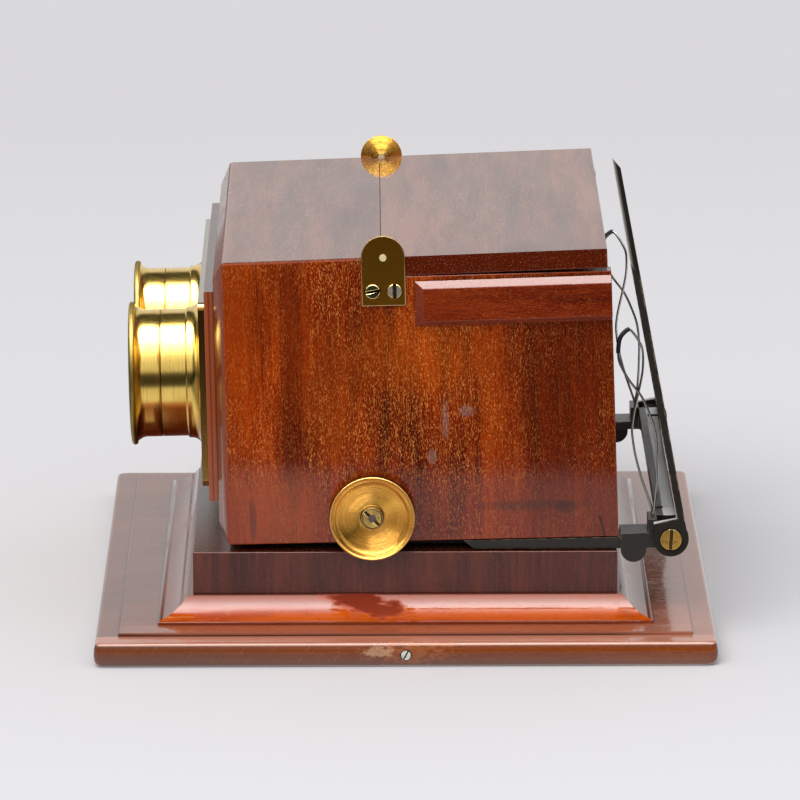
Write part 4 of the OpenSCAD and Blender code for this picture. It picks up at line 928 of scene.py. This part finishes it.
ON_THE_SHAFT = IN_THE_BOX @ Matrix.Translation((shaft_u, 0, shaft_v))
knob_brass = Brass("knob brass", ON_THE_SHAFT, (242, 184, 90), (216, 150, 58), rough=0.16)
ring_r = knob_brass.turned_about(knob_brass.x, knob_brass.z, 4.2, slant=30)
knob_brass.stain(
    ring_r.within(lip_in, 0.15, 0.3) * 0.5, (120, 74, 24),
    ring_r.within(nut_r + 0.25, 0.2, 0.2) * 0.9, (50, 30, 12),
    # painted shade: the knob's milled edge below the lip is painted dark, for the dark surroundings it
    # mirrors
    ring_r.over(14.9, 0.1) * abs(knob_brass.y).under(rim_out - 0.7, 0.2) * 0.9, (44, 28, 18),
    ring_r.over(14.7, 0.2) * 0.3, knob_brass.bright)
knob_brass.done()

knob_steps = 260
for side, end, hand in SIDES:
    bm = turned(knob, knob_steps)
    for vert in bm.verts:
        if rim_in + 0.6 < vert.co.z < rim_out - 0.9 and Vector(vert.co.xy).length > knob_r - 0.1:
            vert.co.xy *= 1 - 0.014 * (round(about(vert, knob_steps)) % 2)
    piece(end + "_dished_knob", bm, ON_THE_SHAFT @ Matrix.Rotation(-side * pi / 2, 4, "X"), [knob_brass],
          "focus", hand + "_knob", turn=50, flats=False)

nut_brass = Brass("nut brass", ON_THE_SHAFT, (210, 176, 104), (150, 114, 58), rough=0.24)
ring_r = nut_brass.turned_about(nut_brass.x, nut_brass.z, 3.0, slant=30)
nut_brass.stain(abs(nut_brass.y).under(rim_out - 0.8, 0.15).most(ring_r.over(3.3, 0.2)) * 0.9, (34, 22, 10))
nut_brass.done()
eased("knob_slotted_nuts", "knob_nuts", ON_THE_SHAFT, nut_brass, "focus", 0.15, turn=40, steps=2,
      where=lambda a, b: min(abs(a.y), abs(b.y)) > rim_out - 2.2 and (a - b).length > 0.3)
dress(bright_brass, "right_pinion", "left_pinion")

# Card carrier
#
# Two arms with racks slide under the box and carry the card ledge between two brackets, all
# of brass cut from bar and lacquered black, worn along its corners.

black = Lacquer("black lacquer", IN_THE_BOX)
for side, end, hand in SIDES:
    eased(end + "_rack_arm", hand + "_arm", IN_THE_BOX, black, "carriage", 0.2, steps=2,
          where=lambda a, b: (a - b).length > 3 and min(abs(a.y), abs(b.y)) > box_half - 9)
for side, end, hand in SIDES:
    eased(end + "_end_bracket", hand + "_bracket", IN_THE_BOX, black, "carriage", 0.25,
          steps=2, turn=50, where=lambda a, b: (a - b).length > 1.5)
dust_from = 153.7
ledge_black = Lacquer("ledge lacquer", IN_THE_BOX, shine=0.15, settled=0.95, beyond=dust_from)
eased("card_ledge_rail", "card_ledge", IN_THE_BOX, ledge_black, "carriage", 0.25, steps=2,
      where=lambda a, b: (a - b).length > 1.2)

# Springs
#
# Two springs of bright steel wire stand in holes in the brackets, loop over at the top and
# press the card back against the frame; a short black sleeve covers each bend.

back_u, ear_high, wire_r = 138.2, 6.2, 0.45
wire_u, wire_y, wire_gap, wire_hole = 149.9, 87.6, 4.0, 2.6
bends = ((10.6, 4.8, 0), (8.2, 12.3, 0), (6.2, 20.3, 0), (5.2, 27.3, 0), (5.1, 31.8, 0), (5.9, 36.8, 0),
         (7.1, 41.8, 0), (8.3, 46.8, 0), (9.2, 51.8, 0), (9.4, 56.8, 0), (9, 59.8, 0.05), (7.8, 62.4, 0.15),
         (6.3, 64.9, 0.3), (4.5, 66.8, 0.5), (2.6, 65.7, 0.7), (1.4, 64.3, 0.85), (0.8, 62.3, 0.95),
         (0.5, 58.8, 1), (1, 55.1, 1), (3.6, 49.8, 1), (6.4, 45.8, 1), (8.6, 42.6, 1), (11.1, 36.8, 1),
         (13, 30.8, 1), (13.7, 23.8, 1), (13.5, 15.8, 1), (13, 8.8, 1), (12.3, 3.3, 1))
foot = [(wire_u - back_u, up, 0) for up in (0.4 - wire_hole, 0.7)]
route = [Vector((back_u + behind, wire_y + wire_gap * share, ear_high + up))
         for behind, up, share in (*foot, *bends, *((behind, up, 1) for behind, up, _ in reversed(foot)))]


def smooth_route(points, steps):
    """Points on a smooth curve through a run of points."""
    ends, curve = [points[0]] + points + [points[-1]], []
    for i in range(len(points) - 1):
        a, b, c, d = ends[i:i + 4]
        for t in (part / steps for part in range(steps)):
            place = 2 * b + (c - a) * t + (2 * a - 5 * b + 4 * c - d) * t ** 2
            curve.append(0.5 * (place + (3 * b - 3 * c + d - a) * t ** 3))
    return curve + [points[-1]]


def wire(bm, points, radius, sides):
    """Round wire along a run of points."""
    lines = None
    for number, point in enumerate(points):
        ahead = (points[min(number + 1, len(points) - 1)] - points[max(number - 1, 0)]).normalized()
        over = ahead.cross(Vector((0, 1, 0))).normalized()
        turn = Matrix((over, ahead.cross(over), ahead)).transposed().to_4x4()
        disc = bmesh.ops.create_circle(bm, cap_ends=number in (0, len(points) - 1), segments=sides,
                                       radius=radius, matrix=Matrix.Translation(point) @ turn)["verts"]
        loop = list({edge for vert in disc for edge in vert.link_edges})
        if lines is not None:
            bmesh.ops.bridge_loops(bm, edges=lines + loop)
        lines = loop


spring_wire = Steel("spring steel", (196, 194, 190), 0.2)
curve = smooth_route(route, 4)
sleeves = bmesh.new()
for side, end, hand in SIDES:
    bm = bmesh.new()
    path = [Vector((point.x, side * point.y, point.z)) for point in curve]
    wire(bm, path, wire_r, 10)
    piece(end + "_spring_wire", bm, IN_THE_BOX, [spring_wire], "carriage", hand + "_spring", turn=60,
          flats=False)
    wire(sleeves, path[60:77], wire_r + 0.35, 14)
for face in sleeves.faces:
    face.material_index = int(face.calc_center_median().y > 0)
sleeve_blacks = [Lacquer(name, IN_THE_BOX, black=black, rub=0.0, rough=0.5)
                 for name, black in (("sleeve black", (26, 26, 28)), ("sleeve grey", (112, 112, 108)))]
piece("spring_bend_sleeves", sleeves, IN_THE_BOX, sleeve_blacks, "carriage",
      "spring_sleeves", turn=60, flats=False)

# Card frame
#
# The folding frame behind the card, cut from sheet brass with two windows and lacquered
# black, turning on slotted brass screws in the brackets.

pivot_u, pivot_v = 155.9, -0.5
frame_lean = radians(9.3)
ON_THE_FRAME = IN_THE_BOX @ Matrix.Translation((pivot_u, 0, pivot_v)) @ Matrix.Rotation(-frame_lean, 4, "Y")
frame_black = Lacquer("frame lacquer", ON_THE_FRAME, black=(42, 40, 37), rub=0.75, rough=0.55, shine=0.0,
                      settled=0.9)
eased("card_window_frame", "card_frame", ON_THE_FRAME, frame_black, "card_frame", 0.3,
      steps=2, turn=40, where=lambda a, b: (a - b).length > 2)
screw_brass = Brass("screw brass", IN_THE_BOX, (206, 160, 76), (120, 84, 34), rough=0.3)
screw_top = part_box("frame_screws")[1][1] * 1000
tarnish = screw_brass.noise(screw_brass.spot, 0.5, 4.0, 0.7).over(0.09, 0.06) * 0.7
screw_brass.stain(abs(screw_brass.y).under(screw_top - 0.25, 0.15).most(tarnish) * 0.85, (40, 28, 14))
screw_brass.done(rub=0.5)
eased("frame_pivot_screws", "frame_screws", IN_THE_BOX, screw_brass, "carriage", 0.2, steps=2,
      where=lambda a, b: min(abs(a.y), abs(b.y)) > box_half + 4 and (a - b).length > 0.3)

# Studio
#
# A pale table, an even sky for the surfaces and one soft key lamp from the near side. What
# polished wood and brass mirror is set apart: a broad soft box overhead, a pale wall behind
# and a dark room in front.

pale, near_pale, far_pale = rgb(226, 226, 229), rgb(235, 235, 239), rgb(217, 216, 220)
table = Finish("pale table", Specular_IOR_Level=0.0, Roughness=1.0)
x, y, z = table.parts(table.place())
lit = (y - x * 0.12).over(-366, 30) * (0.72 + y.over(-100, 500) * 0.1) + 0.045
lit = lit * (1 - (0 - x).over(180, 80) * 0.65)
mirrored = table.node("Emission", {}, {"Color": table.mix(lit, (0, 0, 0, 1), (1, 1, 1, 1)), "Strength": 1.0})
glossy_ray = table.node("LightPath", {}, {}, out=3)
# painted light on the table: its colour is paler towards the near side and darker far off, for the light
# falling off across it
table.feed("Base Color", table.mix(y.over(250, 1300), near_pale, far_pale))
surface = table.node("MixShader", {}, {0: glossy_ray, 1: Value(table, table.shader.outputs[0]), 2: mirrored})
table.tree.links.new(surface.socket, table.tree.nodes["Material Output"].inputs["Surface"])
bm = bmesh.new()
bmesh.ops.create_grid(bm, x_segments=1, y_segments=1, size=6.0)
mesh = bpy.data.meshes.new("table_top")
bm.to_mesh(mesh)
bm.free()
mesh.materials.append(table.material)
floor = bpy.data.objects.new("table_top", mesh)
bpy.context.scene.collection.objects.link(floor)


class Sky(Finish):
    """The studio's surroundings, by direction."""

    def __init__(self, world):
        world.use_nodes = True
        self.tree = world.node_tree
        self.shader = self.tree.nodes["Background"]


world = bpy.data.worlds.new("studio")
bpy.context.scene.world = world
sky = Sky(world)
across, ahead, up = sky.parts(sky.node("TexCoord", {}, {}, out=0))
round_over = up.maths("ARCTAN2", up, 0 - ahead) * (1 / pi)
grey = ((0.0, 0.004), (11.5, 0.004), (13, 0.075), (30, 0.085), (42, 0.12), (50, 0.26), (60, 0.42), (70, 0.7),
        (80, 1.15), (90, 1.15), (100, 0.85), (106, 0.5), (110, 0.004), (145, 0.004), (150, 0.08),
        (180, 0.088))
stops = [(at / 180, (level, level, level, 1)) for at, level in grey]
seen = sky.node("ValToRGB", {"stops": stops}, {0: round_over})
aside = 1 - abs(across).over(0.62, 0.1) * 0.8
mirrored_sky = sky.node("VectorMath", {"operation": "SCALE"}, {0: seen, 3: aside * 10.0})
camera_ray, glossy_ray = (sky.node("LightPath", {}, {}, out=ray) for ray in (0, 3))
sky_light = 0.62
plain_sky = sky.mix(camera_ray, (sky_light, sky_light, sky_light, 1), pale)
sky.feed("Color", sky.mix(glossy_ray, plain_sky, mirrored_sky))

key = bpy.data.objects.new("key", bpy.data.lights.new("key", "SUN"))
key.data.energy = 1.6
key.data.angle = radians(45)
key.data.color = (1.0, 0.98, 0.95)
key.rotation_euler = Vector((-0.35, -0.72, 1.0)).to_track_quat("Z", "Y").to_euler()
key.visible_glossy = False
bpy.context.scene.collection.objects.link(key)

# Camera
#
# A long lens level with the near side and about twelve degrees above the table.

lens = bpy.data.cameras.new("camera")
lens.lens, lens.sensor_width = 348.75, 36.0
lens.clip_end = 50
down, turn, roll = radians(12.321), radians(0.254), radians(-0.145)
forward = Vector((sin(turn) * cos(down), cos(turn) * cos(down), -sin(down)))
level = Vector((cos(turn), -sin(turn), 0))
upward = level.cross(forward)
right = level * cos(roll) + upward * sin(roll)
top = upward * cos(roll) - level * sin(roll)
camera = bpy.data.objects.new("camera", lens)
camera.matrix_world = (Matrix.Translation(Vector((-13.488, -2761.702, 669.336)) * 0.001)
                       @ Matrix((right, top, -forward)).transposed().to_4x4())
bpy.context.scene.collection.objects.link(camera)
bpy.context.scene.camera = camera
bpy.context.scene.view_settings.view_transform = "Standard"
